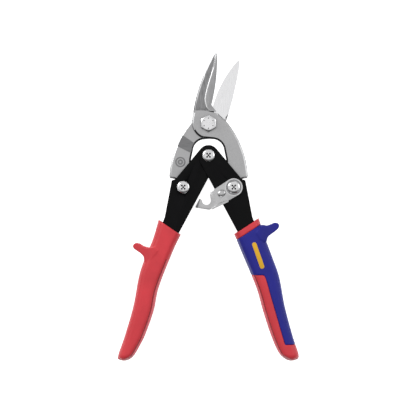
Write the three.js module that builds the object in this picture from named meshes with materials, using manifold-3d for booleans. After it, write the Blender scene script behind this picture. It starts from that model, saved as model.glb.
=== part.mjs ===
// Aviation snips: compound-lever hand shears for sheet metal, lying flat and open to their stop.
//
// Millimetres, +Z up. The blades point towards +Y, the handles towards -Y, and the origin is the
// bottom centre of the bounding box. While it is being built, the snips stand about the main pivot:
// x = y = 0 is the axis of the pivot bolt and z = 0 is the shear plane between the two jaws.
//
// The linkage is a kite of four pivots. Each handle turns on the centre rivet and carries a rivet
// in the tail of the jaw on its own side, and the two jaws turn on the pivot bolt. Each handle is
// a stamped channel whose two flanges straddle the tail, and at the centre rivet the flanges of the
// two handles are interleaved like the fingers of two hands.

import * as THREE from 'three';
import Module from 'manifold-3d';
import { mergeVertices } from 'three/addons/utils/BufferGeometryUtils.js';

const wasm = await Module();
wasm.setup();

// ---- Driving dimensions --------------------------------------------------------------------

// Linkage
const JAW_LINK = 56.5; // pivot bolt to a tail rivet
const HANDLE_LINK = 33.4; // centre rivet to a tail rivet
const OPEN_HALF_ANGLE = 21.5; // degrees between a jaw's link and the centre line, fully open

// Sheet, plate and gaps along Z
const JAW_THICKNESS = 3.6;
const FLANGE_THICKNESS = 1.8;
const LATCH_THICKNESS = 1.5;
const SLIP_GAP = 0.1; // between any two faces that slide or rest on one another

// Rivets, bolt and their holes
const RIVET_RADIUS = 4;
const CENTRE_RIVET_RADIUS = 3.2;
const RIVET_HEAD_RADIUS = 5.1;
const RIVET_HEAD_HEIGHT = 1.9;
const RIVET_BACK_HEIGHT = 1.4;
const RIVET_BACK_CHAMFER = 1.2;
const RIVET_RIM_HEIGHT = 0.57; // upright rim below a head's dome
const CATCH_NECK_RADIUS = 2.6; // neck of the left rivet, which the latch hooks
const BOLT_RADIUS = 3.95;
const HEX_ACROSS_FLATS = 12;
const BOLT_HEAD_HEIGHT = 5.2;
const BOLT_HEAD_CHAMFER = 1.3;
const BOLT_END_RECESS = 0.8; // of the bolt's end inside the nut
const NUT_CHAMFER = 1.1;
const LOCK_WASHER_RADIUS = 7.6;
const LOCK_WASHER_THICKNESS = 1.4;
const RUNNING_GAP = 0.15; // radial, between a pin and the hole that turns on it
const OPEN_PIVOT_GAP = 0.45; // radial, round the left rivet, where the modelled loop is open

// Jaws
const TAIL_END_RADIUS = 7.6;
const TAIL_BULGE = 4.2; // how far a tail's outer edge bows out
const FRONT_TIP = { x: 6.4, y: 58.4 };
const BACK_TIP = { x: 25.2, y: 52.9 };
const GROUND_EDGE = 1.3; // thickness left at a ground cutting edge
const GROUND_SPINE = 2.4; // thickness left along the back of a ground blade
const GRIND_START = 11; // height above the pivot where the grinding begins

// Handles
const FLANGE_END_RADIUS = 8.5; // about the centre rivet
const SPACER_RADIUS = 6;
const COLLAR_GAP = 0.3; // between a channel and the grip moulded over it

// Spring and its bush
const BUSH_RADIUS = 4.5;
const WIRE_RADIUS = 0.7;
const COIL_GAP = 0.55; // radial, between the coil and the bush
const COIL_TURNS = 3; // whole turns, besides the part turn between the legs
const LEG_OVERRUN = 3.5; // leg beyond the spacer that it bears on

// Latch
const LATCH_REACH = 24.9; // right rivet to the middle of the hook's notch
const LATCH_ANGLE = 25.7; // degrees that the open latch hangs below level
const LATCH_END_RADIUS = 7.3;
const LATCH_RIM = 0.9; // width of the raised rim at the round end
const LATCH_RIM_HEIGHT = 0.6;
const NOTCH_RADIUS = 3.65;
const HOOK_BEND = 17; // right rivet to the line where the hook bends down
const HOOK_LENGTH = 10.55; // from the middle of the notch to the hook's far end
const HOOK_CLEARANCE = 0.25; // between the hook's far end and the left handle's front flange
const TAB_START = 9; // along the arm, from the right rivet
const TAB_END = 24;
const TAB_DOWN = 7.4; // from the arm's middle to the near side of the tab
const TAB_HEIGHT = 6;
const LATCH_WASHER_RADIUS = 6.1;
const LATCH_WASHER_THICKNESS = 0.5;

// Grips
const GRIP_WALL = 3; // over the front and back of the outermost flange
const GRIP_ROUNDING = 4.5; // across the grip's face
const GRIP_ROUNDING_DEPTH = 5.5; // down the grip's side
const COLLAR_BAND = 5; // of the right grip's core, bare above its cover
const COVER_THICKNESS = 1.4;
const COVER_GAP = 0.1;
const GUARD_HALF_THICKNESS = 6.5;
const GUARD_ROUNDING = 1.2;
const GUARD_TOP_HOLLOW = 1.5; // how far the upper side of a guard dips
const GUARD_UNDER_HOLLOW = 1.2;

// Faceting
const MERGE_TOLERANCE = 1e-4;
const ROUND_SEGMENTS = 32;
const EDGE_SEGMENTS = 8; // in each arc of an outline
const DOME_STEPS = 5;
const CUT_OVERRUN = 1; // how far a cutting body runs past what it cuts

// ---- Derived places ------------------------------------------------------------------------

const radians = THREE.MathUtils.degToRad;
const openAngle = radians(OPEN_HALF_ANGLE);
const tailSine = Math.sin(openAngle);
const tailCosine = Math.cos(openAngle);
const rivetX = JAW_LINK * tailSine;
const rivetY = -JAW_LINK * tailCosine;
const centreY = rivetY + Math.sqrt(HANDLE_LINK ** 2 - rivetX ** 2);

const jawNear = SLIP_GAP / 2;
const jawFar = jawNear + JAW_THICKNESS;
const innerFlangeNear = jawFar + SLIP_GAP;
const innerFlangeFar = innerFlangeNear + FLANGE_THICKNESS;
const outerFlangeNear = innerFlangeFar + SLIP_GAP;
const outerFlangeFar = outerFlangeNear + FLANGE_THICKNESS;
const latchBack = outerFlangeFar + SLIP_GAP;
const latchFront = latchBack + LATCH_THICKNESS;
const gripHalf = outerFlangeFar + GRIP_WALL;
const coilRadius = BUSH_RADIUS + COIL_GAP + WIRE_RADIUS;
const coilTop = centreY + coilRadius + WIRE_RADIUS;
const crotchY = (coilTop - BOLT_RADIUS) / 2; // midway between the coil and the bolt's hole

// ---- Materials -----------------------------------------------------------------------------

const material = (color, roughness, metalness) =>
  new THREE.MeshStandardMaterial({ color, roughness, metalness });
const forgedSteel = material(0xb4b4b4, 0.38, 1);
const bladeSteel = material(0xe2e3e5, 0.22, 1);
const plainSteel = material(0xc9c9cb, 0.3, 1);
const springSteel = material(0x8d8f94, 0.35, 1);
const blackPaint = material(0x141416, 0.35, 0.1);
const redVinyl = material(0xdc3c46, 0.5, 0);
const blueRubber = material(0x2e3396, 0.55, 0);

// ---- Solids --------------------------------------------------------------------------------

/** Makes a solid that can be joined and cut from a closed three.js geometry. */
function solid(geometry) {
  const bare = geometry.clone();
  bare.deleteAttribute('normal');
  bare.deleteAttribute('uv');
  const merged = mergeVertices(bare, MERGE_TOLERANCE);
  const corners = merged.index.array;
  const triangles = [];
  for (let i = 0; i < corners.length; i += 3) {
    const [a, b, c] = [corners[i], corners[i + 1], corners[i + 2]];
    if (a !== b && b !== c && c !== a) triangles.push(a, b, c);
  }
  const mesh = new wasm.Mesh({
    numProp: 3,
    vertProperties: new Float32Array(merged.attributes.position.array),
    triVerts: new Uint32Array(triangles),
  });
  return new wasm.Manifold(mesh);
}

/** Turns a solid back into a three.js geometry. */
function geometryOf(body) {
  const { vertProperties, triVerts } = body.getMesh();
  const geometry = new THREE.BufferGeometry();
  geometry.setAttribute('position', new THREE.BufferAttribute(new Float32Array(vertProperties), 3));
  geometry.setIndex(new THREE.BufferAttribute(new Uint32Array(triVerts), 1));
  geometry.computeVertexNormals();
  return geometry;
}

/** A flat plate with the given outline between two heights. */
function plate(shape, low, high) {
  const settings = { depth: high - low, bevelEnabled: false, curveSegments: EDGE_SEGMENTS };
  return solid(new THREE.ExtrudeGeometry(shape, settings).translate(0, 0, low));
}

/** A plate whose outline is moved out by `offset`, or in where it is negative. */
function offsetPlate(shape, offset, low, high, curveSegments) {
  const cap = (high - low) / 4;
  const settings = {
    depth: high - low - 2 * cap,
    bevelThickness: cap,
    bevelSize: 0,
    bevelOffset: offset,
    bevelSegments: 1,
    curveSegments,
  };
  return solid(new THREE.ExtrudeGeometry(shape, settings).translate(0, 0, low + cap));
}

/** A plate with rounded edges, `inset` inside its outline and inside its two faces. */
function roundedPlate(shape, halfHeight, rounding, depth, inset, bevelSegments, curveSegments) {
  const settings = {
    depth: 2 * (halfHeight - inset - depth),
    bevelThickness: depth,
    bevelSize: rounding,
    bevelOffset: -rounding - inset,
    bevelSegments,
    curveSegments,
  };
  const lift = -(halfHeight - inset - depth);
  return solid(new THREE.ExtrudeGeometry(shape, settings).translate(0, 0, lift));
}

/** A body turned about a vertical axis at (x, y) from a list of [radius, height] points. */
function turned(profile, x, y) {
  const points = profile.map(([radius, height]) => new THREE.Vector2(radius, height));
  const geometry = new THREE.LatheGeometry(points, ROUND_SEGMENTS);
  return solid(geometry.rotateX(Math.PI / 2).translate(x, y, 0));
}

/** An upright round bar. */
const bar = (radius, low, high, x, y) =>
  turned([[0, low], [radius, low], [radius, high], [0, high]], x, y);

/** An upright ring. */
const ring = (inner, outer, low, high, x, y) =>
  turned([[inner, low], [outer, low], [outer, high], [inner, high], [inner, low]], x, y);

const hexCornerRadius = HEX_ACROSS_FLATS / Math.sqrt(3);

/** An upright hexagonal bar about the pivot axis with corners towards +Y and -Y. */
function hexBar(low, high) {
  const geometry = new THREE.CylinderGeometry(hexCornerRadius, hexCornerRadius, high - low, 6);
  return solid(geometry.rotateX(Math.PI / 2).rotateZ(Math.PI).translate(0, 0, (low + high) / 2));
}

/** A round bar with its upper rim chamfered at 27 degrees, which trims a hexagon's corners. */
const chamferedBar = (chamfer, low, high) => turned([
  [0, low],
  [hexCornerRadius, low],
  [hexCornerRadius, high - chamfer / 2],
  [hexCornerRadius - chamfer, high],
  [0, high],
], 0, 0);

// ---- Outlines ------------------------------------------------------------------------------

/** Draws outlines from points { x, y }; `side` -1 draws the left-hand version of a right piece. */
class Outline {
  constructor(start, side = 1) {
    this.side = side;
    this.shape = new THREE.Shape();
    this.shape.moveTo(side * start.x, start.y);
  }

  lineTo(...points) {
    for (const point of points) this.shape.lineTo(this.side * point.x, point.y);
    return this;
  }

  /** An arc to `end` that bows to the left of the way there by `bulge`. */
  arcTo(end, bulge) {
    const from = this.shape.currentPoint.clone();
    const to = new THREE.Vector2(this.side * end.x, end.y);
    const bow = bulge * this.side;
    const chord = to.clone().sub(from);
    const half = chord.length() / 2;
    const radius = (half ** 2 + bow ** 2) / (2 * Math.abs(bow));
    const left = new THREE.Vector2(-chord.y, chord.x).normalize();
    const middle = from.clone().add(to).multiplyScalar(0.5);
    const centre = middle.addScaledVector(left, bow - Math.sign(bow) * radius);
    const startAngle = Math.atan2(from.y - centre.y, from.x - centre.x);
    const endAngle = Math.atan2(to.y - centre.y, to.x - centre.x);
    this.shape.absarc(centre.x, centre.y, radius, startAngle, endAngle, bow > 0);
    return this;
  }

  /** A round end about `centre`, clockwise on a right piece, between two angles in degrees. */
  roundTo(centre, radius, startDegrees, endDegrees) {
    const angle = (degrees) => (this.side > 0 ? radians(degrees) : Math.PI - radians(degrees));
    this.shape.absarc(this.side * centre.x, centre.y, radius,
      angle(startDegrees), angle(endDegrees), this.side > 0);
    return this;
  }

  /** A smooth curve through the given points. */
  curveThrough(...points) {
    this.shape.splineThru(points.map((point) => new THREE.Vector2(this.side * point.x, point.y)));
    return this;
  }
}

const at = (x, y) => ({ x, y });
const shifted = (point, x, y) => at(point.x + x, point.y + y);

/** A point on the right jaw's tail: `along` the line to the rivet and `out` from it. */
const onTail = (along, out) => at(
  along * tailSine + out * tailCosine,
  -along * tailCosine + out * tailSine,
);

const rightRivetPlace = at(rivetX, rivetY);
const centrePlace = at(0, centreY);

// ---- Jaws ----------------------------------------------------------------------------------

/** Outline of a jaw with its tail and its cutting edge on the right. */
function jawShape(blade) {
  const outline = new Outline(blade.edgeTip);
  outline.arcTo(blade.throat, blade.edgeBulge);
  outline.arcTo(onTail(2.1, 13.9), -0.7);
  outline.arcTo(onTail(JAW_LINK - 4.5, 14.4), TAIL_BULGE);
  outline.lineTo(onTail(JAW_LINK - 3, 13.4), onTail(JAW_LINK - 3.9, 9.7));
  outline.roundTo(rightRivetPlace, TAIL_END_RADIUS, 40, -188);
  outline.arcTo(onTail(32.4, 2.9), -0.6);
  outline.lineTo(at(13, crotchY - 9.8));
  outline.arcTo(at(5.2, crotchY - 0.9), -1.9);
  outline.lineTo(at(-4.5, crotchY));
  outline.arcTo(blade.spineRoot, 2.9);
  outline.arcTo(blade.spineTip, blade.spineBulge);
  outline.lineTo(blade.tip, blade.edgeTip);
  return outline.shape;
}

/** A block that grinds a jaw's front face down from a ridge line to `dropped` at `towards`. */
function grindingBlock(ridgeLow, ridgeHigh, towards, dropped) {
  const low = new THREE.Vector3(ridgeLow.x, ridgeLow.y, jawFar);
  const high = new THREE.Vector3(ridgeHigh.x, ridgeHigh.y, jawFar);
  const target = new THREE.Vector3(towards.x, towards.y, jawNear + dropped);
  const along = high.clone().sub(low).normalize();
  const reach = target.clone().sub(low);
  const across = reach.addScaledVector(along, -reach.dot(along)).normalize();
  const up = new THREE.Vector3().crossVectors(along, across);
  if (up.z < 0) up.negate();
  const right = new THREE.Vector3().crossVectors(across, up);
  const size = { long: 60, wide: 30, tall: 6 };
  const start = low.clone().addScaledVector(along, (GRIND_START - low.y) / along.y);
  const centre = start.addScaledVector(along, size.long / 2)
    .addScaledVector(across, size.wide / 2)
    .addScaledVector(up, size.tall / 2);
  const box = new THREE.BoxGeometry(size.long, size.wide, size.tall);
  const turn = new THREE.Matrix4().makeBasis(right, across, up).setPosition(centre);
  return solid(box.applyMatrix4(turn));
}

/** One jaw: a forged plate with a ground blade and holes for the bolt and its tail rivet. */
function jaw(blade, rivetHoleGap) {
  const low = jawNear - CUT_OVERRUN;
  const high = jawFar + CUT_OVERRUN;
  const holes = bar(BOLT_RADIUS + RUNNING_GAP, low, high, 0, 0)
    .add(bar(RIVET_RADIUS + rivetHoleGap, low, high, rivetX, rivetY));
  const edge = grindingBlock(blade.ridgeLow, blade.ridgeHigh, blade.edgeMiddle, GROUND_EDGE);
  const spine = grindingBlock(blade.ridgeLow, blade.ridgeHigh, blade.spineMiddle, GROUND_SPINE);
  return plate(jawShape(blade), jawNear, jawFar)
    .subtract(holes)
    .subtract(edge)
    .subtract(spine);
}

const frontBlade = {
  tip: FRONT_TIP,
  edgeTip: shifted(FRONT_TIP, 0.85, -1.1),
  throat: at(2.4, 15.6),
  edgeBulge: 1.4,
  spineRoot: at(-13.6, 2),
  spineTip: shifted(FRONT_TIP, -1.6, -1),
  spineBulge: 3.35,
  ridgeLow: at(-2.7, 18),
  ridgeHigh: shifted(FRONT_TIP, -1.2, -4),
  edgeMiddle: at(5.2, 28),
  spineMiddle: at(-8.5, 28),
};

// The back jaw is drawn as if it were a right-hand piece seen from behind.
const backTipSeen = at(-BACK_TIP.x, BACK_TIP.y);
const backBlade = {
  tip: backTipSeen,
  edgeTip: shifted(backTipSeen, 1.6, -1.1),
  throat: at(-2.6, 11),
  edgeBulge: 2.8,
  spineRoot: at(-14.4, 1.6),
  spineTip: shifted(backTipSeen, -0.7, -3.4),
  spineBulge: 1,
  ridgeLow: at(-11.5, 18),
  ridgeHigh: shifted(backTipSeen, 0.4, -5),
  edgeMiddle: at(-9.2, 28),
  spineMiddle: at(-21.3, 28),
};

/** Turns a body half a turn about Y, which swaps left with right and front with back. */
const flipOver = (body) => solid(geometryOf(body).rotateY(Math.PI));

const frontJaw = () => jaw(frontBlade, RUNNING_GAP);
const backJaw = () => flipOver(jaw(backBlade, OPEN_PIVOT_GAP));

// ---- Pivot bolt ----------------------------------------------------------------------------

const nutFar = -gripHalf; // the nut's end face lies in the plane of the grips' backs
const washerFar = -jawFar - SLIP_GAP - LOCK_WASHER_THICKNESS;

function pivotBolt() {
  const headLow = jawFar + SLIP_GAP;
  const headHigh = headLow + BOLT_HEAD_HEIGHT;
  const head = hexBar(headLow, headHigh)
    .intersect(chamferedBar(BOLT_HEAD_CHAMFER, headLow - CUT_OVERRUN, headHigh));
  const shankTop = headLow + BOLT_HEAD_HEIGHT / 2;
  return head.add(bar(BOLT_RADIUS, nutFar + BOLT_END_RECESS, shankTop, 0, 0));
}

function pivotNut() {
  const nutNear = washerFar - SLIP_GAP;
  const trim = chamferedBar(NUT_CHAMFER, -nutNear - CUT_OVERRUN, -nutFar);
  return hexBar(nutFar, nutNear)
    .intersect(flipOver(trim))
    .subtract(bar(BOLT_RADIUS + SLIP_GAP, nutFar - CUT_OVERRUN, nutNear + CUT_OVERRUN, 0, 0));
}

const pivotWasher = () => ring(BOLT_RADIUS + RUNNING_GAP, LOCK_WASHER_RADIUS,
  washerFar, -jawFar - SLIP_GAP, 0, 0);

// ---- Handle channels -----------------------------------------------------------------------

const webTop = shifted(rightRivetPlace, 9.6, 5.7);
const webAtCollar = shifted(rightRivetPlace, 15.4, -24.6);
const innerAtCollar = shifted(rightRivetPlace, 3, -36.2);
const tangOuterEnd = shifted(rightRivetPlace, 36, -93.4);
const tangInnerEnd = shifted(rightRivetPlace, 26.4, -96);
const TANG_OUTER_BULGE = 1.5;
const TANG_INNER_BULGE = 2.6;

/** Angle in degrees at which a round end about `centre` meets the tangent that reaches `target`. */
function tangentAngle(centre, radius, target, turn) {
  const x = target.x - centre.x;
  const y = target.y - centre.y;
  const spread = Math.acos(radius / Math.hypot(x, y));
  return THREE.MathUtils.radToDeg(Math.atan2(y, x) + turn * spread);
}

/** Outline of the right handle's channel, from its round end on the centre rivet to its tang. */
function channelShape(side) {
  const shoulder = shifted(webTop, -2.9, 0.9);
  const outerTangent = tangentAngle(centrePlace, FLANGE_END_RADIUS, shoulder, 1);
  const innerTangent = tangentAngle(centrePlace, FLANGE_END_RADIUS, innerAtCollar, -1);
  return new Outline(webTop, side)
    .lineTo(webAtCollar)
    .arcTo(tangOuterEnd, TANG_OUTER_BULGE)
    .lineTo(tangInnerEnd)
    .arcTo(innerAtCollar, -TANG_INNER_BULGE)
    .roundTo(centrePlace, FLANGE_END_RADIUS, innerTangent + 360, outerTangent)
    .lineTo(shoulder, webTop)
    .shape;
}

/** The hollow of the right handle's channel, open towards the other handle. */
function hollowShape(side) {
  const wall = FLANGE_THICKNESS;
  const top = centreY + FLANGE_END_RADIUS + CUT_OVERRUN;
  const bottom = tangInnerEnd.y - CUT_OVERRUN;
  const open = -FLANGE_END_RADIUS - CUT_OVERRUN;
  return new Outline(at(webTop.x - wall, top), side)
    .lineTo(shifted(webTop, -wall, 0), shifted(webAtCollar, -wall, 0))
    .arcTo(shifted(tangOuterEnd, -wall, 0), TANG_OUTER_BULGE)
    .lineTo(at(tangOuterEnd.x - wall, bottom), at(open, bottom), at(open, top))
    .shape;
}

/** One handle's channel; the right one is the same stamping as the left, turned over. */
function channel(side, frontNear, backNear) {
  const front = frontNear + FLANGE_THICKNESS;
  const back = -backNear - FLANGE_THICKNESS;
  const low = back - CUT_OVERRUN;
  const high = front + CUT_OVERRUN;
  const holes = bar(RIVET_RADIUS + SLIP_GAP, low, high, side * rivetX, rivetY)
    .add(bar(CENTRE_RIVET_RADIUS + RUNNING_GAP, low, high, 0, centreY));
  return plate(channelShape(side), back, front)
    .subtract(plate(hollowShape(side), -backNear, frontNear))
    .subtract(holes);
}

const rightChannel = () => channel(1, outerFlangeNear, innerFlangeNear);
const leftChannel = () => channel(-1, innerFlangeNear, outerFlangeNear);

// ---- Rivets, spacers and bush --------------------------------------------------------------

/** A rivet with a domed head in front, a formed head behind and an optional thinner neck. */
function rivet(x, y, radius, back, front, neck) {
  const backHead = back - SLIP_GAP;
  const headSeat = neck ? neck.top : front + SLIP_GAP;
  const profile = [
    [0, backHead - RIVET_BACK_HEIGHT],
    [RIVET_HEAD_RADIUS - RIVET_BACK_CHAMFER, backHead - RIVET_BACK_HEIGHT],
    [RIVET_HEAD_RADIUS, backHead - RIVET_BACK_HEIGHT / 2],
    [RIVET_HEAD_RADIUS, backHead],
    [radius, backHead],
  ];
  if (neck) profile.push([radius, front], [neck.radius, front], [neck.radius, headSeat]);
  else profile.push([radius, headSeat]);
  profile.push([RIVET_HEAD_RADIUS, headSeat]);
  for (let step = 0; step <= DOME_STEPS; step += 1) {
    const angle = (step / DOME_STEPS) * (Math.PI / 2);
    const rise = (RIVET_HEAD_HEIGHT - RIVET_RIM_HEIGHT) * Math.sin(angle);
    const height = headSeat + RIVET_RIM_HEIGHT + rise;
    profile.push([RIVET_HEAD_RADIUS * Math.cos(angle), height]);
  }
  return turned(profile, x, y);
}

const latchWasherBack = latchFront + SLIP_GAP;
const latchHeadSeat = latchWasherBack + LATCH_WASHER_THICKNESS + SLIP_GAP;
const catchHeadSeat = latchFront; // the hook slopes down and passes under this head

const centreRivet = () => rivet(0, centreY, CENTRE_RIVET_RADIUS, -outerFlangeFar, outerFlangeFar);
const leftRivet = () => rivet(-rivetX, rivetY, RIVET_RADIUS, -outerFlangeFar, innerFlangeFar,
  { radius: CATCH_NECK_RADIUS, top: catchHeadSeat });
const rightRivet = () => rivet(rivetX, rivetY, RIVET_RADIUS, -innerFlangeFar,
  latchHeadSeat - SLIP_GAP);

/** A spacer on a tail rivet. */
const spacer = (low, high, side) =>
  ring(RIVET_RADIUS + SLIP_GAP, SPACER_RADIUS, low, high, side * rivetX, rivetY);

const springBush = () => ring(CENTRE_RIVET_RADIUS + SLIP_GAP, BUSH_RADIUS, -jawFar, jawFar, 0, centreY);

// ---- Return spring -------------------------------------------------------------------------

/** Centre line of the torsion spring: the left leg, the coil and the right leg. */
class SpringLine extends THREE.Curve {
  constructor() {
    super();
    const contact = coilRadius + SPACER_RADIUS + WIRE_RADIUS + RUNNING_GAP;
    const towardsRivet = Math.atan2(rivetY - centreY, rivetX);
    this.legAngle = towardsRivet - Math.asin(contact / HANDLE_LINK);
    this.legLength = Math.sqrt(HANDLE_LINK ** 2 - contact ** 2) + LEG_OVERRUN;
    this.leaveAngle = this.legAngle + Math.PI / 2;
    this.sweep = COIL_TURNS * 2 * Math.PI + Math.PI - 2 * this.leaveAngle;
    this.middleAngle = Math.PI / 2 + COIL_TURNS * Math.PI;
    this.rise = jawFar - WIRE_RADIUS - 3 * SLIP_GAP;
    this.coilLength = this.sweep * coilRadius;
    this.total = this.coilLength + 2 * this.legLength;
  }

  getPoint(t, target = new THREE.Vector3()) {
    const fromMiddle = (t - 0.5) * this.total;
    const side = Math.sign(fromMiddle);
    const onLeg = Math.max(0, Math.abs(fromMiddle) - this.coilLength / 2);
    const wound = THREE.MathUtils.clamp(fromMiddle / (this.coilLength / 2), -1, 1);
    const angle = this.middleAngle - (wound * this.sweep) / 2;
    return target.set(
      coilRadius * Math.cos(angle) + side * onLeg * Math.cos(this.legAngle),
      centreY + coilRadius * Math.sin(angle) + onLeg * Math.sin(this.legAngle),
      -wound * this.rise,
    );
  }
}

function returnSpring() {
  const wire = new THREE.Shape().absarc(0, 0, WIRE_RADIUS, 0, 2 * Math.PI);
  const settings = { steps: 110, extrudePath: new SpringLine(), curveSegments: 4 };
  return solid(new THREE.ExtrudeGeometry(wire, settings));
}

// ---- Latch ---------------------------------------------------------------------------------

/** A point on the latch: `along` its arm from the right rivet and `down` across it. */
function onLatch(along, down) {
  const turn = radians(LATCH_ANGLE);
  return at(
    rivetX - along * Math.cos(turn) + down * Math.sin(turn),
    rivetY - along * Math.sin(turn) - down * Math.cos(turn),
  );
}

/** Outline of the latch: a round end, an arm and a hook whose notch opens upwards. */
function latchShape() {
  const notch = onLatch(LATCH_REACH, 0);
  const upperTangent = onLatch(0.5, -LATCH_END_RADIUS);
  const lowerTangent = onLatch(0, LATCH_END_RADIUS);
  const outline = new Outline(upperTangent);
  outline.lineTo(onLatch(15, -5.4), shifted(notch, 5.6, 7.6), shifted(notch, 3.2, 6.6),
    shifted(notch, 2.8, 4.4));
  outline.lineTo(shifted(notch, NOTCH_RADIUS, 0));
  outline.roundTo(notch, NOTCH_RADIUS, 0, -180);
  outline.lineTo(shifted(notch, -4.6, 1), shifted(notch, -5.8, 1.3), shifted(notch, -9.2, -5.2));
  outline.lineTo(shifted(notch, -8.8, -6), shifted(notch, 2.4, -7.8));
  outline.lineTo(onLatch(24.4, 8.1), onLatch(8.5, 8), lowerTangent);
  const start = THREE.MathUtils.radToDeg(Math.atan2(lowerTangent.y - rivetY, lowerTangent.x - rivetX));
  outline.shape.absarc(rivetX, rivetY, LATCH_END_RADIUS, radians(start), radians(start + 176), false);
  return outline.shape;
}

/** Bends a flat latch: everything beyond the bend line slopes down towards the other handle. */
function bendHook(body) {
  const turn = radians(LATCH_ANGLE);
  const drop = latchBack - innerFlangeFar - HOOK_CLEARANCE;
  const slope = drop / (LATCH_REACH + HOOK_LENGTH - HOOK_BEND);
  const geometry = geometryOf(body);
  const places = geometry.getAttribute('position');
  for (let i = 0; i < places.count; i += 1) {
    const along = (rivetX - places.getX(i)) * Math.cos(turn) + (rivetY - places.getY(i)) * Math.sin(turn);
    places.setZ(i, places.getZ(i) - Math.max(0, along - HOOK_BEND) * slope);
  }
  return solid(geometry);
}

/** A box set along the latch's arm between two distances from the right rivet. */
function latchBox(alongLow, alongHigh, downLow, downHigh, low, high) {
  const middle = onLatch((alongLow + alongHigh) / 2, (downLow + downHigh) / 2);
  const box = new THREE.BoxGeometry(alongHigh - alongLow, downHigh - downLow, high - low);
  box.rotateZ(radians(LATCH_ANGLE));
  return solid(box.translate(middle.x, middle.y, (low + high) / 2));
}

function latch() {
  const flat = plate(latchShape(), latchBack, latchFront, 8);
  const bendCutter = latchBox(HOOK_BEND - 0.01, 60, -30, 30, latchBack - 1, latchFront + 1);
  const arm = flat.subtract(bendCutter);
  const hook = bendHook(flat.intersect(bendCutter));
  const rim = ring(LATCH_END_RADIUS - LATCH_RIM, LATCH_END_RADIUS, latchFront - 0.5,
    latchFront + LATCH_RIM_HEIGHT, rivetX, rivetY);
  const dome = new THREE.SphereGeometry(1, 20, 10).scale(3.5, 2.9, LATCH_THICKNESS - SLIP_GAP);
  const place = onLatch(11.1, 0.2);
  dome.rotateZ(radians(LATCH_ANGLE)).translate(place.x, place.y, latchFront);
  const tab = latchBox(TAB_START, TAB_END, TAB_DOWN, TAB_DOWN + LATCH_THICKNESS, latchBack,
    latchFront + TAB_HEIGHT);
  const hole = bar(RIVET_RADIUS + RUNNING_GAP, latchBack - 1, latchFront + 1, rivetX, rivetY);
  return arm.add(hook).add(rim).add(solid(dome)).add(tab).subtract(hole);
}

const latchWasher = () => ring(RIVET_RADIUS + SLIP_GAP, LATCH_WASHER_RADIUS, latchWasherBack,
  latchWasherBack + LATCH_WASHER_THICKNESS, rivetX, rivetY);

// ---- Grips ---------------------------------------------------------------------------------

/** Points given from the tail rivet, outwards and along Y. */
const fromRivet = (pairs) => pairs.map(([x, y]) => shifted(rightRivetPlace, x, y));

const leftGrip = {
  side: -1,
  collar: fromRivet([[2.2, -39.1], [20.6, -26.6]]),
  inner: fromRivet([[8.7, -52.7], [20.4, -82.5], [24.5, -101.6], [31.4, -121.4], [39.2, -136.8]]),
  end: fromRivet([[45.2, -143.1], [54.5, -141.8]]),
  outer: fromRivet([[48.4, -122.3], [41.3, -97.4], [36.8, -73.4], [31.9, -58.4], [25.5, -43.4]]),
  guard: fromRivet([[22, -52], [26.5, -46], [41.7, -46.5], [42.1, -50.1], [32.3, -59.4]]),
};
const rightGrip = {
  side: 1,
  collar: fromRivet([[0.5, -38.6], [20.8, -25.4]]),
  inner: fromRivet([[6.7, -53.6], [18.7, -82.5], [24.2, -101.6], [30.6, -121.4], [37.3, -136.4]]),
  end: fromRivet([[43.9, -143.1], [54.3, -141.8]]),
  outer: fromRivet([[48.7, -122.3], [42.3, -98.3], [37.8, -74.3], [32.5, -58.9], [26.7, -43.4]]),
  guard: fromRivet([[19.5, -37], [23.8, -30.4], [36.7, -29.5], [37.2, -33.1], [26.7, -43.4]]),
};

/** Points on a line parallel to the collar's end, `up` from it and `beyond` its two ends. */
function collarLine(grip, up, beyond) {
  const [inner, outer] = grip.collar;
  const length = Math.hypot(outer.x - inner.x, outer.y - inner.y);
  const x = (outer.x - inner.x) / length;
  const y = (outer.y - inner.y) / length;
  return [
    shifted(inner, -y * up - x * beyond, x * up - y * beyond),
    shifted(outer, -y * up + x * beyond, x * up + y * beyond),
  ];
}

/** The long body of a grip, `inset` inside its skin and cut square at the collar. */
function gripBody(grip, inset) {
  const [innerTop, outerTop] = collarLine(grip, 12, 0);
  const shape = new Outline(innerTop, grip.side)
    .lineTo(grip.collar[0])
    .curveThrough(...grip.inner)
    .lineTo(...grip.end, grip.outer[0])
    .curveThrough(...grip.outer.slice(1))
    .lineTo(grip.collar[1], outerTop)
    .shape;
  const [lowInner, lowOuter] = collarLine(grip, 0, 15);
  const [highInner, highOuter] = collarLine(grip, 30, 15);
  const waste = new Outline(lowInner, grip.side).lineTo(lowOuter, highOuter, highInner).shape;
  return roundedPlate(shape, gripHalf, GRIP_ROUNDING, GRIP_ROUNDING_DEPTH, inset, 4, 3)
    .subtract(plate(waste, -gripHalf - 1, gripHalf + 1));
}

/** The horn that keeps the hand off the blades. */
function guard(grip) {
  const [root, topRoot, topTip, underTip, underRoot] = grip.guard;
  const shape = new Outline(root, grip.side)
    .lineTo(topRoot)
    .arcTo(topTip, -GUARD_TOP_HOLLOW)
    .lineTo(underTip)
    .arcTo(underRoot, -GUARD_UNDER_HOLLOW)
    .shape;
  return roundedPlate(shape, GUARD_HALF_THICKNESS, GUARD_ROUNDING, GUARD_ROUNDING, 0, 2, 3);
}

/** The room that a channel's tang takes inside its grip. */
function socket(side, frontNear, backNear) {
  const front = frontNear + FLANGE_THICKNESS + COLLAR_GAP;
  const back = -backNear - FLANGE_THICKNESS - COLLAR_GAP;
  return offsetPlate(channelShape(side), COLLAR_GAP, back, front, 8);
}

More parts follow.
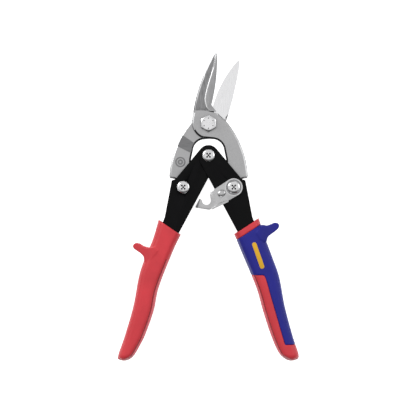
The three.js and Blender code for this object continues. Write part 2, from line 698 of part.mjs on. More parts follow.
/** Outline of the soft cover over the right grip: the whole upper part and the palm side. */
function coverShape() {
  const [bandInner, bandOuter] = collarLine(rightGrip, -COLLAR_BAND, 30);
  const [stepCorner, stepTurn, ...palmEdge] = fromRivet(
    [[23.7, -72.2], [26.2, -74.7], [31.1, -91.6], [36.9, -111.5], [41.9, -128.5]]);
  const palmEnd = fromRivet([[42.6, -129.3], [90, -129.3]]);
  return new Outline(bandInner)
    .lineTo(bandOuter, at(palmEnd[1].x, bandOuter.y), palmEnd[1], palmEnd[0])
    .lineTo(palmEdge[2])
    .curveThrough(palmEdge[1], palmEdge[0], stepTurn)
    .lineTo(stepCorner, at(bandInner.x, stepCorner.y))
    .shape;
}

const leftGripSolid = () => gripBody(leftGrip, 0)
  .add(guard(leftGrip))
  .subtract(socket(-1, innerFlangeNear, outerFlangeNear));

function rightGripCore() {
  const covered = offsetPlate(coverShape(), COVER_GAP, -gripHalf - 1, gripHalf + 1, 4);
  return gripBody(rightGrip, 0)
    .subtract(covered)
    .add(gripBody(rightGrip, COVER_THICKNESS + COVER_GAP))
    .subtract(socket(1, outerFlangeNear, innerFlangeNear));
}

function rightGripCover() {
  const region = plate(coverShape(), -gripHalf - 1, gripHalf + 1, 4);
  return gripBody(rightGrip, 0)
    .add(guard(rightGrip))
    .intersect(region)
    .subtract(gripBody(rightGrip, COVER_THICKNESS));
}

// ---- Group ---------------------------------------------------------------------------------

const group = new THREE.Group();

function addPart(name, body, skin) {
  const mesh = new THREE.Mesh(geometryOf(body), skin);
  mesh.name = name;
  group.add(mesh);
}

addPart('front_jaw', frontJaw(), forgedSteel);
addPart('back_jaw', backJaw(), bladeSteel);
addPart('pivot_bolt', pivotBolt(), plainSteel);
addPart('pivot_washer', pivotWasher(), springSteel);
addPart('pivot_nut', pivotNut(), plainSteel);
addPart('right_handle_frame', rightChannel(), blackPaint);
addPart('left_handle_frame', leftChannel(), blackPaint);
addPart('right_grip', rightGripCore(), redVinyl);
addPart('right_grip_cover', rightGripCover(), blueRubber);
addPart('left_grip', leftGripSolid(), redVinyl);
addPart('centre_rivet', centreRivet(), plainSteel);
addPart('left_rivet', leftRivet(), plainSteel);
addPart('right_rivet', rightRivet(), plainSteel);
addPart('right_front_spacer', spacer(innerFlangeNear, innerFlangeFar, 1), plainSteel);
addPart('right_back_spacer', spacer(-jawFar, -jawNear, 1), plainSteel);
addPart('left_front_spacer', spacer(jawNear, jawFar, -1), plainSteel);
addPart('left_back_spacer', spacer(-innerFlangeFar, -innerFlangeNear, -1), plainSteel);
addPart('spring_bush', springBush(), plainSteel);
addPart('return_spring', returnSpring(), springSteel);
addPart('latch', latch(), plainSteel);
addPart('latch_washer', latchWasher(), springSteel);

const bounds = new THREE.Box3().setFromObject(group);
const middle = bounds.getCenter(new THREE.Vector3());
group.position.set(-middle.x, -middle.y, -bounds.min.z);
group.updateMatrixWorld(true);

export default group;
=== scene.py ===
"""Aviation snips: the visual model of a pair of compound-lever hand shears.

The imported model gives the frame. Every piece is placed from the boxes of its nodes, in metres,
and rides on the body that it belongs to: the two handles, the two jaws and the latch.
"""

import logging
import math
from contextlib import contextmanager
from dataclasses import dataclass, field
from enum import Enum
from typing import Callable, Iterator, Sequence

import bmesh
import bpy
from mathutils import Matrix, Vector


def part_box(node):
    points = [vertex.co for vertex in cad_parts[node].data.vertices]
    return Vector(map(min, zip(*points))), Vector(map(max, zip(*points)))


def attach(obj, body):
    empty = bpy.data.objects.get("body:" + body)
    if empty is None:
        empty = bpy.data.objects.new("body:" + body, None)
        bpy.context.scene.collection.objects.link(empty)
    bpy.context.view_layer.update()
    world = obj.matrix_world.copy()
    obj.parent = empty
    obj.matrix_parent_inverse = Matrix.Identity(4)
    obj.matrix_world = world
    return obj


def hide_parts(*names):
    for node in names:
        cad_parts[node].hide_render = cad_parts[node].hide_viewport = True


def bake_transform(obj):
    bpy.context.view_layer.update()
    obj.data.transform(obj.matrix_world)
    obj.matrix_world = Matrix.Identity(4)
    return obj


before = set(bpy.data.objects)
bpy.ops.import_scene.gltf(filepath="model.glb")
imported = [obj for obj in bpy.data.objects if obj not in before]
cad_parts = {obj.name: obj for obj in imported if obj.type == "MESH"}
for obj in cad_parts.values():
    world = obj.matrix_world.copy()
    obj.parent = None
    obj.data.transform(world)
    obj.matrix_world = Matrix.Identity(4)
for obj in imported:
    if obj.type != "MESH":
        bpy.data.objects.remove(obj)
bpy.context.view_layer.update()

log = logging.getLogger("snips")

MM = 0.001
ROUND_STEPS = 64
FAR_DOWN = 50  # millimetres, further than any blade or grip is thick

Colour = tuple[float, float, float]
Point = tuple[float, float]


# ---- Working helpers ------------------------------------------------------------------------


def deselect_all() -> None:
    """Leaves nothing selected."""
    for obj in list(bpy.context.selected_objects):
        obj.select_set(False)


def activate(obj: bpy.types.Object) -> None:
    """Makes one object the selected and active one.

    Args:
        obj: The object to work on.
    """
    deselect_all()
    bpy.context.view_layer.objects.active = obj
    obj.select_set(True)


@contextmanager
def editing(obj: bpy.types.Object, mode: str = "EDGE") -> Iterator[bmesh.types.BMesh]:
    """Opens an object in edit mode with nothing selected.

    Args:
        obj: The object to edit.
        mode: What is selected: VERT, EDGE or FACE.

    Yields:
        The mesh being edited.
    """
    activate(obj)
    bpy.ops.object.mode_set(mode="EDIT")
    bpy.ops.mesh.select_mode(type=mode)
    bpy.ops.mesh.select_all(action="DESELECT")
    try:
        yield bmesh.from_edit_mesh(obj.data)
    finally:
        bpy.ops.object.mode_set(mode="OBJECT")


def pick(obj: bpy.types.Object, items: Sequence, rule: Callable[[object], bool]) -> int:
    """Selects the edges, faces or vertices that meet a rule.

    Args:
        obj: The object in edit mode.
        items: The mesh's edges, faces or vertices.
        rule: Says whether one of them is picked.

    Returns:
        How many were picked.
    """
    count = 0
    for item in items:
        if rule(item):
            item.select_set(True)
            count += 1
    bmesh.update_edit_mesh(obj.data)
    return count


def apply(obj: bpy.types.Object, kind: str, **settings: object) -> None:
    """Adds a modifier with these settings and applies it.

    Args:
        obj: The object that gets the modifier.
        kind: The modifier's type.
        settings: Its properties.
    """
    modifier = obj.modifiers.new(kind.title(), kind)
    for key, value in settings.items():
        setattr(modifier, key, value)
    activate(obj)
    bpy.ops.object.modifier_apply(modifier=modifier.name)


def combine(obj: bpy.types.Object, tool: bpy.types.Object, operation: str) -> None:
    """Joins another body to an object or cuts it away, and removes that body.

    Args:
        obj: The object that is changed.
        tool: The other body.
        operation: UNION, DIFFERENCE or INTERSECT.
    """
    apply(obj, "BOOLEAN", operation=operation, object=tool, solver="EXACT")
    bpy.data.objects.remove(tool)


def freeze(obj: bpy.types.Object) -> None:
    """Moves an object's place into its mesh."""
    activate(obj)
    bpy.ops.object.transform_apply(location=True, rotation=True, scale=True)


def face_outwards(obj: bpy.types.Object) -> None:
    """Merges doubled points and turns every face outwards."""
    with editing(obj, "VERT"):
        bpy.ops.mesh.select_all(action="SELECT")
        bpy.ops.mesh.remove_doubles(threshold=1e-6)
        bpy.ops.mesh.normals_make_consistent(inside=False)


def smooth(obj: bpy.types.Object, degrees: float = 32) -> None:
    """Shades an object smooth, with edges sharper than an angle kept."""
    activate(obj)
    bpy.ops.object.shade_smooth_by_angle(angle=math.radians(degrees))


def soften(obj: bpy.types.Object, width: float, segments: int = 2, degrees: float = 30) -> None:
    """Rounds every edge sharper than an angle.

    Args:
        obj: The object.
        width: Width of the rounding in millimetres.
        segments: How many steps it has.
        degrees: The angle.
    """
    apply(obj, "BEVEL", width=width * MM, segments=segments, limit_method="ANGLE",
          angle_limit=math.radians(degrees), use_clamp_overlap=True, harden_normals=False)


def copy_of(node: str, name: str) -> bpy.types.Object:
    """A merged copy of a node's mesh, with its flat faces in one piece, to be worked further.

    Args:
        node: The node.
        name: The new piece's name.

    Returns:
        The new object, at the origin.
    """
    obj = bpy.data.objects.new(name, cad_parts[node].data.copy())
    bpy.context.scene.collection.objects.link(obj)
    obj.data.name = name
    obj.data.materials.clear()
    with editing(obj, "VERT"):
        bpy.ops.mesh.select_all(action="SELECT")
        bpy.ops.mesh.remove_doubles(threshold=2e-6)
        bpy.ops.mesh.dissolve_limited(angle_limit=math.radians(0.6))
    return obj


def node_centre(node: str) -> Vector:
    """Middle of a node's box."""
    low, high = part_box(node)
    return (low + high) / 2


def turned(name: str, profile: Sequence[Point], x: float, y: float,
           solid: bool = True) -> bpy.types.Object:
    """A body turned about an upright axis, raised from a circle by extruding and scaling.

    Args:
        name: The piece's name.
        profile: Pairs of radius and height in metres, from the lower disc to the upper one, or
            in order round the section of a ring.
        x: The axis, in metres.
        y: The axis, in metres.
        solid: Whether it is solid. A ring is hollow, and its profile closes on itself.

    Returns:
        The new object.
    """
    deselect_all()
    radius, height = profile[0]
    bpy.ops.mesh.primitive_circle_add(vertices=ROUND_STEPS, radius=radius,
                                      fill_type="NGON" if solid else "NOTHING",
                                      location=(x, y, height))
    obj = bpy.context.active_object
    obj.name = name
    freeze(obj)
    activate(obj)
    bpy.ops.object.mode_set(mode="EDIT")
    bpy.ops.mesh.select_mode(type="FACE" if solid else "EDGE")
    bpy.ops.mesh.select_all(action="SELECT")
    extrude = bpy.ops.mesh.extrude_region_move if solid else bpy.ops.mesh.extrude_edges_move
    for next_radius, next_height in [*profile[1:], *(() if solid else profile[:1])]:
        extrude(TRANSFORM_OT_translate={"value": (0, 0, next_height - height)})
        scale = next_radius / radius
        bpy.ops.transform.resize(value=(scale, scale, 1), center_override=(x, y, next_height))
        radius, height = next_radius, next_height
    bpy.ops.object.mode_set(mode="OBJECT")
    face_outwards(obj)
    return obj


def slice_at(place: Vector, normal: Sequence[float], cut: bool = False) -> None:
    """Divides the mesh being edited along a plane.

    Args:
        place: A point of the plane.
        normal: The plane's normal.
        cut: Whether what lies beyond the plane is removed and the opening closed.
    """
    bpy.ops.mesh.select_all(action="SELECT")
    bpy.ops.mesh.bisect(plane_co=place, plane_no=normal, use_fill=cut, clear_outer=cut)


def thicken(obj: bpy.types.Object) -> list[bmesh.types.BMVert]:
    """Extrudes the sheet being edited far down, and gives the new points to be placed."""
    bpy.ops.mesh.select_all(action="SELECT")
    bpy.ops.mesh.extrude_region_move(TRANSFORM_OT_translate={"value": (0, 0, -FAR_DOWN)})
    return [v for v in bmesh.from_edit_mesh(obj.data).verts if v.co.z < -FAR_DOWN / 2]


def plain_ring(name: str, node: str, hole: float, chamfer: float) -> bpy.types.Object:
    """A ring with chamfered rims in the place of a node.

    Args:
        name: The piece's name.
        node: The node that it stands for.
        hole: Radius of its hole in millimetres.
        chamfer: Width of the chamfer in millimetres.

    Returns:
        The new object.
    """
    low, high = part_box(node)
    middle = (low + high) / 2
    outer = (high.x - low.x) / 2
    inner = hole * MM
    cut = chamfer * MM
    profile = [(inner, low.z + cut), (inner + cut, low.z), (outer - cut, low.z),
               (outer, low.z + cut), (outer, high.z - cut), (outer - cut, high.z),
               (inner + cut, high.z), (inner, high.z - cut)]
    obj = turned(name, profile, middle.x, middle.y, solid=False)
    smooth(obj)
    return obj


def slab(name: str, outline: Sequence[Point], low: float, high: float) -> bpy.types.Object:
    """A flat plate with a given outline.

    Args:
        name: The piece's name.
        outline: Corners in millimetres from the bolt's axis, in order.
        low: Its lower face, in millimetres from the shear plane.
        high: Its upper face.

    Returns:
        The new object.
    """
    deselect_all()
    bpy.ops.mesh.primitive_circle_add(vertices=len(outline), radius=1, fill_type="NGON")
    obj = bpy.context.active_object
    obj.name = name
    for vertex, (x, y) in zip(obj.data.vertices, outline):
        vertex.co = LAYOUT.at(x, y, low)
    with editing(obj, "FACE"):
        bpy.ops.mesh.select_all(action="SELECT")
        bpy.ops.mesh.extrude_region_move(
            TRANSFORM_OT_translate={"value": (0, 0, (high - low) * MM)})
    face_outwards(obj)
    return obj


def dents(obj: bpy.types.Object, places: Sequence[Vector], radius: float) -> None:
    """Presses small round dents into a piece.

    Args:
        obj: The piece.
        places: The middle of each dent.
        radius: The radius of the ball that presses it, in millimetres.
    """
    tools = []
    for place in places:
        Marks.places.append((Vector(place), radius * MM))
        deselect_all()
        bpy.ops.mesh.primitive_uv_sphere_add(segments=16, ring_count=10, radius=radius * MM,
                                             location=place)
        tools.append(bpy.context.active_object)
        freeze(tools[-1])
    activate(tools[0])
    for tool in tools:
        tool.select_set(True)
    bpy.ops.object.join()
    combine(obj, tools[0], "DIFFERENCE")


# ---- Finishes -------------------------------------------------------------------------------


class Wiring:
    """The nodes of one material, wired from its shader backwards."""

    def __init__(self, name: str) -> None:
        """Makes an empty material with its shader.

        Args:
            name: The material's name.
        """
        self.material = bpy.data.materials.new(name)
        self.material.use_nodes = True
        self.tree = self.material.node_tree
        self.shader = self.tree.nodes["Principled BSDF"]
        self.place = self.tree.nodes.new("ShaderNodeTexCoord").outputs["Object"]

    def set(self, **values: object) -> None:
        """Sets the shader's sockets, with _ for a space in a name."""
        for key, value in values.items():
            self.shader.inputs[key.replace("_", " ")].default_value = value

    def link(self, source: bpy.types.NodeSocket, target: bpy.types.NodeSocket) -> None:
        """Joins two sockets."""
        self.tree.links.new(source, target)

    def noise(self, scale: float, stretch: Colour = (1, 1, 1), turn: float = 0,
              detail: float = 3) -> bpy.types.NodeSocket:
        """A noise over the piece.

        Args:
            scale: Grains per metre.
            stretch: How much finer it is along each axis.
            turn: Degrees that the pattern is turned about Z.
            detail: Number of finer layers.

        Returns:
            The noise's value.
        """
        mapping = self.tree.nodes.new("ShaderNodeMapping")
        mapping.inputs["Scale"].default_value = stretch
        mapping.inputs["Rotation"].default_value = (0, 0, math.radians(turn))
        self.link(self.place, mapping.inputs["Vector"])
        node = self.tree.nodes.new("ShaderNodeTexNoise")
        node.inputs["Scale"].default_value = scale
        node.inputs["Detail"].default_value = detail
        self.link(mapping.outputs["Vector"], node.inputs["Vector"])
        return node.outputs["Fac"]

    def ramp(self, value: bpy.types.NodeSocket, stops: Sequence[tuple[float, Colour]],
             target: str = "Base Color") -> None:
        """Colours the shader by a value.

        Args:
            value: The value.
            stops: Places from 0 to 1 with their colours.
            target: The shader's socket.
        """
        node = self.tree.nodes.new("ShaderNodeValToRGB")
        elements = node.color_ramp.elements
        while len(elements) < len(stops):
            elements.new(0.5)
        for element, (place, colour) in zip(elements, stops):
            element.position = place
            element.color = (*colour, 1)
        self.link(value, node.inputs["Fac"])
        self.link(node.outputs["Color"], self.shader.inputs[target])

    def spread(self, value: bpy.types.NodeSocket, low: float, high: float,
               target: str = "Roughness") -> None:
        """Drives a socket of the shader between two numbers.

        Args:
            value: A value from 0.3 to 0.7.
            low: What the socket gets at the low end.
            high: What it gets at the high end.
            target: The socket.
        """
        node = self.tree.nodes.new("ShaderNodeMapRange")
        node.inputs["From Min"].default_value = 0.3
        node.inputs["From Max"].default_value = 0.7
        node.inputs["To Min"].default_value = low
        node.inputs["To Max"].default_value = high
        self.link(value, node.inputs["Value"])
        self.link(node.outputs["Result"], self.shader.inputs[target])

    def bump(self, heights: Sequence[tuple[bpy.types.NodeSocket, float]],
             strength: float = 1) -> None:
        """Roughens the surface.

        Args:
            heights: Height values, each with its depth in millimetres.
            strength: Strength of the whole.
        """
        normal = None
        for value, depth in heights:
            node = self.tree.nodes.new("ShaderNodeBump")
            node.inputs["Strength"].default_value = strength
            node.inputs["Distance"].default_value = depth * MM
            self.link(value, node.inputs["Height"])
            if normal is not None:
                self.link(normal, node.inputs["Normal"])
            normal = node.outputs["Normal"]
        self.link(normal, self.shader.inputs["Normal"])


def tinted(colour: Colour, factor: float) -> Colour:
    """A colour made lighter or darker."""
    return tuple(min(1.0, channel * factor) for channel in colour)


class Grain(Enum):
    """How the marks on a metal surface run: how fine they are along X, Y and Z."""

    BLASTED = (1.0, 1.0, 1.0)
    LENGTHWISE = (1.0, 0.045, 1.0)
    CROSSWISE = (0.06, 1.0, 1.0)


@dataclass(frozen=True)
class Steel:
    """Bare or plated steel with a grain and faint stains."""

    name: str
    colour: Colour
    roughness: float = 0.3
    grain: Grain = Grain.BLASTED
    turn: float = 0
    fineness: float = 2600
    depth: float = 0.012
    contrast: float = 0.12

    def material(self) -> bpy.types.Material:
        """Makes the material.

        Returns:
            The material.
        """
        wiring = Wiring(self.name)
        wiring.set(Metallic=1.0)
        grain = wiring.noise(self.fineness, self.grain.value, self.turn)
        stain = wiring.noise(90, detail=4)
        wiring.ramp(grain, [(0.3, tinted(self.colour, 1 - self.contrast)),
                            (0.7, tinted(self.colour, 1 + self.contrast))])
        wiring.spread(stain, self.roughness * 0.82, self.roughness * 1.2)
        wiring.bump([(grain, self.depth)])
        return wiring.material


@dataclass(frozen=True)
class Paint:
    """Stoved black paint with a faint orange peel."""

    name: str = "black_stoved_paint"
    colour: Colour = (0.0015, 0.0015, 0.0018)
    roughness: float = 0.3

    def material(self) -> bpy.types.Material:
        """Makes the material.

        Returns:
            The material.
        """
        wiring = Wiring(self.name)
        wiring.set(Specular_IOR_Level=0.1)
        peel = wiring.noise(1500, detail=2)
        worn = wiring.noise(160, detail=4)
        wiring.ramp(worn, [(0.35, self.colour), (0.75, tinted(self.colour, 1.7))])
        wiring.spread(worn, self.roughness * 0.85, self.roughness * 1.25)
        wiring.bump([(peel, 0.02)])
        return wiring.material


@dataclass(frozen=True)
class Moulding:
    """A moulded plastic or rubber skin with a fine grain."""

    name: str
    colour: Colour
    roughness: float = 0.42
    grain_depth: float = 0.02
    specular: float = 0.4

    def material(self) -> bpy.types.Material:
        """Makes the material.

        Returns:
            The material.
        """
        wiring = Wiring(self.name)
        wiring.set(Specular_IOR_Level=self.specular)
        grain = wiring.noise(2400, detail=2)
        cloud = wiring.noise(45, detail=3)
        wiring.ramp(cloud, [(0.3, tinted(self.colour, 0.9)), (0.7, tinted(self.colour, 1.1))])
        wiring.spread(grain, self.roughness * 0.88, self.roughness * 1.15)
        wiring.bump([(cloud, 0.12), (grain, self.grain_depth)])
        return wiring.material


SATIN = Steel("satin_forged_steel", (0.47, 0.47, 0.475), 0.34, depth=0.01)
RIM = Steel("bright_ground_rim", (0.47, 0.47, 0.475), 0.3)
# Painted highlight: a lighter copy of the steel, on the blade's crest and on the latch's rim by
# its rivet.
PAINTED_HIGHLIGHT = Steel("painted_highlight_steel", (0.66, 0.66, 0.665), 0.28)
# Painted shade: a dark copy of the steel on the steep outer rims of the jaws and the outermost
# strip of the blade's spine.
EDGE = Steel("painted_shade_outer_edge", (0.16, 0.16, 0.163), 0.4)
# Painted shade: the ground facets on either side of the crest are darker copies of one ground
# steel, the outer facet darker than the inner.
OUTER_GRIND_SHADED = Steel("outer_grind_painted_shade", (0.27, 0.27, 0.275), 0.3, Grain.LENGTHWISE, -12,
                    contrast=0.3)
INNER_GRIND_HALF_SHADED = Steel("inner_grind_painted_half_shade", (0.40, 0.40, 0.405), 0.3, Grain.LENGTHWISE, -8)
FLAT_GRIND = Steel("flat_ground_face", (0.86, 0.86, 0.87), 0.24, Grain.LENGTHWISE, -24,
                   contrast=0.06)
# The stamped band's darker tone; on the latch the same steel is painted half shade towards the
# hook end.
STAMPED_BAND_AND_SHADE = Steel("stamped_band_and_painted_shade", (0.24, 0.24, 0.245), 0.42, Grain.CROSSWISE, 33)
PLATED = Steel("bright_plated_steel", (0.80, 0.80, 0.81), 0.17, fineness=1400, depth=0.008,
               contrast=0.05)
PRESSED = Steel("pressed_latch_steel", (0.55, 0.55, 0.555), 0.27, fineness=2000)
# Painted shade: a near-black steel on the jaws' inner edges, the bolt head's sides and the
# latch's hook end, where shade falls.
PAINTED_SHADE = Steel("painted_shade_steel", (0.035, 0.035, 0.037), 0.5)
# A darker steel for the faces of the punch marks.
DENT_DARK = Steel("dark_dent_steel", (0.06, 0.06, 0.062), 0.5)
SPRUNG = Steel("oiled_spring_steel", (0.30, 0.30, 0.31), 0.3, Grain.CROSSWISE)
BLACK = Paint()
# Painted highlight: lighter black paint on the channels' folds and softened edges.
FOLD_HIGHLIGHT = Paint("painted_highlight_black_paint", (0.045, 0.045, 0.047), 0.3)
RED = Moulding("red_vinyl", (0.76, 0.054, 0.07), 0.4, specular=0.3)
# Painted shade and highlight: a dark red line and a pale red strip along the grips' inner sides,
# and a pale blue strip on the cover's.
RED_SHADE_LINE = Moulding("red_painted_shade_line", (0.33, 0.018, 0.026), 0.45)
RED_HIGHLIGHT_STRIP = Moulding("red_painted_highlight_strip", (0.93, 0.13, 0.16), 0.45)
BLUE = Moulding("blue_soft_rubber", (0.024, 0.026, 0.29), 0.5, 0.03, specular=0.2)
BLUE_HIGHLIGHT_STRIP = Moulding("blue_painted_highlight_strip", (0.12, 0.13, 0.38), 0.5, specular=0.2)
YELLOW = Moulding("yellow_inlay", (0.85, 0.47, 0.02), 0.4)


class Palette:
    """The finishes as materials, each made once."""

    made: dict[str, bpy.types.Material] = {}

    @classmethod
    def of(cls, finish: Steel | Paint | Moulding) -> bpy.types.Material:
        """The material of a finish."""
        if finish.name not in cls.made:
            cls.made[finish.name] = finish.material()
        return cls.made[finish.name]


def dress(obj: bpy.types.Object, body: str, slot: str, *finishes: Steel | Paint | Moulding,
          node: str | None = None) -> bpy.types.Object:
    """Gives a piece its finishes and lets it ride on a body.

    Args:
        obj: The piece.
        body: The body that it moves with.
        slot: A material slot's name; not used.
        finishes: Its finishes, the main one first.
        node: The node that it stands for.

    Returns:
        The piece.
    """
    obj.data.materials.clear()
    for finish in finishes:
        obj.data.materials.append(Palette.of(finish))
    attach(obj, body)
    if node:
        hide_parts(node)
    log.info("%s rides on %s with %d faces", obj.name, body, len(obj.data.polygons))
    return obj


# ---- Places ---------------------------------------------------------------------------------


@dataclass(frozen=True)
class Layout:
    """The pivots and planes that the pieces share, in metres in the frame."""

    bolt: Vector = field(default_factory=lambda: node_centre("pivot_bolt"))
    centre: Vector = field(default_factory=lambda: node_centre("centre_rivet"))
    left: Vector = field(default_factory=lambda: node_centre("left_rivet"))
    right: Vector = field(default_factory=lambda: node_centre("right_rivet"))
    jaw_low: float = field(default_factory=lambda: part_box("back_jaw")[0].z)
    jaw_high: float = field(default_factory=lambda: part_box("front_jaw")[1].z)

    @property
    def shear(self) -> float:
        """Height of the plane between the two jaws."""
        return (self.jaw_low + self.jaw_high) / 2

    def at(self, x: float, y: float, z: float = 0) -> Vector:
        """A point given in millimetres from the bolt's axis and the shear plane."""
        return Vector((self.bolt.x + x * MM, self.bolt.y + y * MM, self.shear + z * MM))

    def local(self, point: Vector) -> Vector:
        """A point of the frame in millimetres from the bolt's axis and the shear plane."""
        return (point - Vector((self.bolt.x, self.bolt.y, self.shear))) / MM


LAYOUT = Layout()


# ---- Jaws -----------------------------------------------------------------------------------


@dataclass(frozen=True)
class Arc:
    """An arc between two points that bows to the left of the way by `bulge`."""

    start: Point
    end: Point
    bulge: float

    def x_at(self, y: float) -> float:
        """Where the arc crosses a height.

        Args:
            y: The height.

        Returns:
            The crossing's x, on the arc's own side.
        """
        from_, to = Vector(self.start), Vector(self.end)
        chord = to - from_
        half = chord.length / 2
        radius = (half ** 2 + self.bulge ** 2) / (2 * abs(self.bulge))
        left = Vector((-chord.y, chord.x)).normalized()
        sign = math.copysign(1, self.bulge)
        centre = (from_ + to) / 2 + left * (self.bulge - sign * radius)
        reach = math.sqrt(max(0, radius ** 2 - (y - centre.y) ** 2))
        on_chord = from_.x + chord.x * (y - from_.y) / chord.y
        return min((centre.x - reach, centre.x + reach), key=lambda x: abs(x - on_chord))


def through(points: Sequence[Point], y: float) -> float:
    """A smooth curve x(y) through points that rise in y.

    Args:
        points: Pairs of y and x.
        y: Where it is read.

    Returns:
        x at that height.
    """
    last = len(points) - 2
    i = next((k for k in range(last + 1) if y <= points[k + 1][0]), last)
    (y0, x0), (y1, x1) = points[i], points[i + 1]
    before = points[max(0, i - 1)]
    after = points[min(len(points) - 1, i + 2)]
    t = (y - y0) / (y1 - y0)
    slope0 = (x1 - before[1]) / (y1 - before[0]) * (y1 - y0)
    slope1 = (after[1] - x0) / (after[0] - y0) * (y1 - y0)
    t2, t3 = t * t, t * t * t
    return ((2 * t3 - 3 * t2 + 1) * x0 + (t3 - 2 * t2 + t) * slope0
            + (-2 * t3 + 3 * t2) * x1 + (t3 - t2) * slope1)


def ease(value: float) -> float:
    """A smooth step from 0 to 1."""
    t = max(0.0, min(1.0, value))
    return t * t * (3 - 2 * t)


@dataclass(frozen=True)
class GroundBlade:
    """A blade with a raised ridge between two ground faces, spine on the left, edge on the right.

    Sizes are in millimetres from the bolt's axis and the shear plane, seen from the blade's own
    outer side.
    """

    spine: Arc
    edge: Arc
    shoulder: Arc
    tip: Point
    ridge: tuple[Point, ...]
    foot: float = 10.9
    overlap: float = 0.5
    top: float = 3.65
    bottom: float = 0.05
    crest_drop: float = 0.06
    crest_rise: float = 0.16
    spine_slope: float = 0.15
    edge_slope: float = 0.25
    chamfer: float = 1.5
    chamfer_drop: float = 0.6
    rim_start: float = 0.5
    rim_end: float = 40.0
    crest_end: float = 47.0
    crest_half: float = 0.42
    hollow: float = 0.1
    rows: int = 64
    across: int = 5

    def left_at(self, y: float) -> float:
        """The spine's x at a height."""
        if y <= self.spine.end[1]:
            return self.spine.x_at(y)
        return self._to_tip(self.spine.end, y)

    def right_at(self, y: float) -> float:
        """The cutting edge's x at a height, or the shoulder's below it."""
        if y < self.edge.end[1]:
            return self.shoulder.x_at(y)
        if y <= self.edge.start[1]:
            return self.edge.x_at(y)
        return self._to_tip(self.edge.start, y)

    def _to_tip(self, corner: Point, y: float) -> float:
        """A straight line from a corner to the tip."""
        t = (y - corner[1]) / (self.tip[1] - corner[1])
        return corner[0] + (self.tip[0] - corner[0]) * t

    def section(self, y: float) -> list[Vector]:
        """The blade's upper outline at a height, from the spine to the edge.

        Args:
            y: The height.

        Returns:
            Points across the blade, always the same number.
        """
        left, right = self.left_at(y), self.right_at(y)
        width = right - left
        crest = min(max(through(self.ridge, y), left + 0.35 * width), right - 0.22 * width)
        bevel = min(self.chamfer, 0.2 * width)
        half = min(self.crest_half, 0.1 * width)
        fade = ease((y - self.foot + 0.4) / 7)
        shoulder = self.top - self.crest_drop - self.crest_rise
        deep_left = shoulder - self.spine_slope * (crest - half - left - bevel)
        deep_right = shoulder - self.edge_slope * (0.12 + 0.88 * fade) * (right - crest - half)
        rim = self.chamfer_drop * bevel / self.chamfer
        points = [Vector((left, y, deep_left - rim)),
                  Vector((left + self.rim_start * bevel, y, deep_left - 0.45 * rim)),
                  Vector((left + bevel, y, deep_left))]
        for step in range(1, self.across + 1):
            t = step / self.across
            x = left + bevel + (crest - half - left - bevel) * t
            z = deep_left + (shoulder - deep_left) * t - self.hollow * math.sin(math.pi * t)
            points.append(Vector((x, y, z)))
        points.append(Vector((crest, y, self.top - self.crest_drop)))
        for step in range(self.across + 1):
            t = step / self.across
            x = crest + half + (right - crest - half) * t
            z = shoulder + (deep_right - shoulder) * t - self.hollow * math.sin(math.pi * t)
            points.append(Vector((x, y, z)))
        return points

    def build(self, name: str) -> bpy.types.Object:
        """Shapes the blade from a grid, in millimetres about the bolt's axis.

        Args:
            name: The object's name.

        Returns:
            A closed body.
        """
        last = self.tip[1] - 0.12
        start = self.foot - self.overlap
        levels = [start + (last - start) * (k / self.rows) ** 1.02 for k in range(self.rows + 1)]
        levels = sorted({*levels, self.foot + 0.01})
        columns = len(self.section(self.foot))
        deselect_all()
        bpy.ops.mesh.primitive_grid_add(x_subdivisions=columns - 1,
                                        y_subdivisions=len(levels) - 1, size=1)
        obj = bpy.context.active_object
        obj.name = name
        with editing(obj, "FACE") as mesh:
            ordered = sorted(mesh.verts, key=lambda v: (round(v.co.y, 6), round(v.co.x, 6)))
            for row, y in enumerate(levels):
                for vertex, place in zip(ordered[row * columns:], self.section(y)):
                    vertex.co = place
            bmesh.update_edit_mesh(obj.data)
            for vertex in thicken(obj):
                vertex.co.z = self.bottom
            bmesh.update_edit_mesh(obj.data)
            bpy.ops.mesh.select_all(action="SELECT")
            bpy.ops.mesh.normals_make_consistent(inside=False)
        return obj


TAIL_SHOULDER = (13.7, 3.14)
FRONT_BLADE = GroundBlade(
    spine=Arc((-13.6, 2), (4.8, 57.4), 3.35),
    edge=Arc((7.25, 57.3), (2.4, 15.6), 1.4),
    shoulder=Arc((2.4, 15.6), TAIL_SHOULDER, -0.7),
    tip=(6.4, 58.4),
    ridge=((10, 1.7), (11.8, 0.1), (13.5, -1.3), (18.1, -2.7), (21.4, -2.6), (28, -1.3),
           (35.4, 0.9), (43.7, 3.4), (49.5, 4.7), (58.4, 6.3)),
)
BACK_BLADE = GroundBlade(
    spine=Arc((-14.4, 1.6), (-25.9, 49.5), 1),
    edge=Arc((-23.6, 51.8), (-2.6, 11), 2.8),
    shoulder=Arc((-2.6, 11), TAIL_SHOULDER, -0.7),
    tip=(-25.2, 52.9),
    ridge=((9, -5.6), (13.5, -9.2), (18, -11.4), (26, -15), (36, -19.6), (46, -24), (53, -25.6)),
    foot=9.2,
)


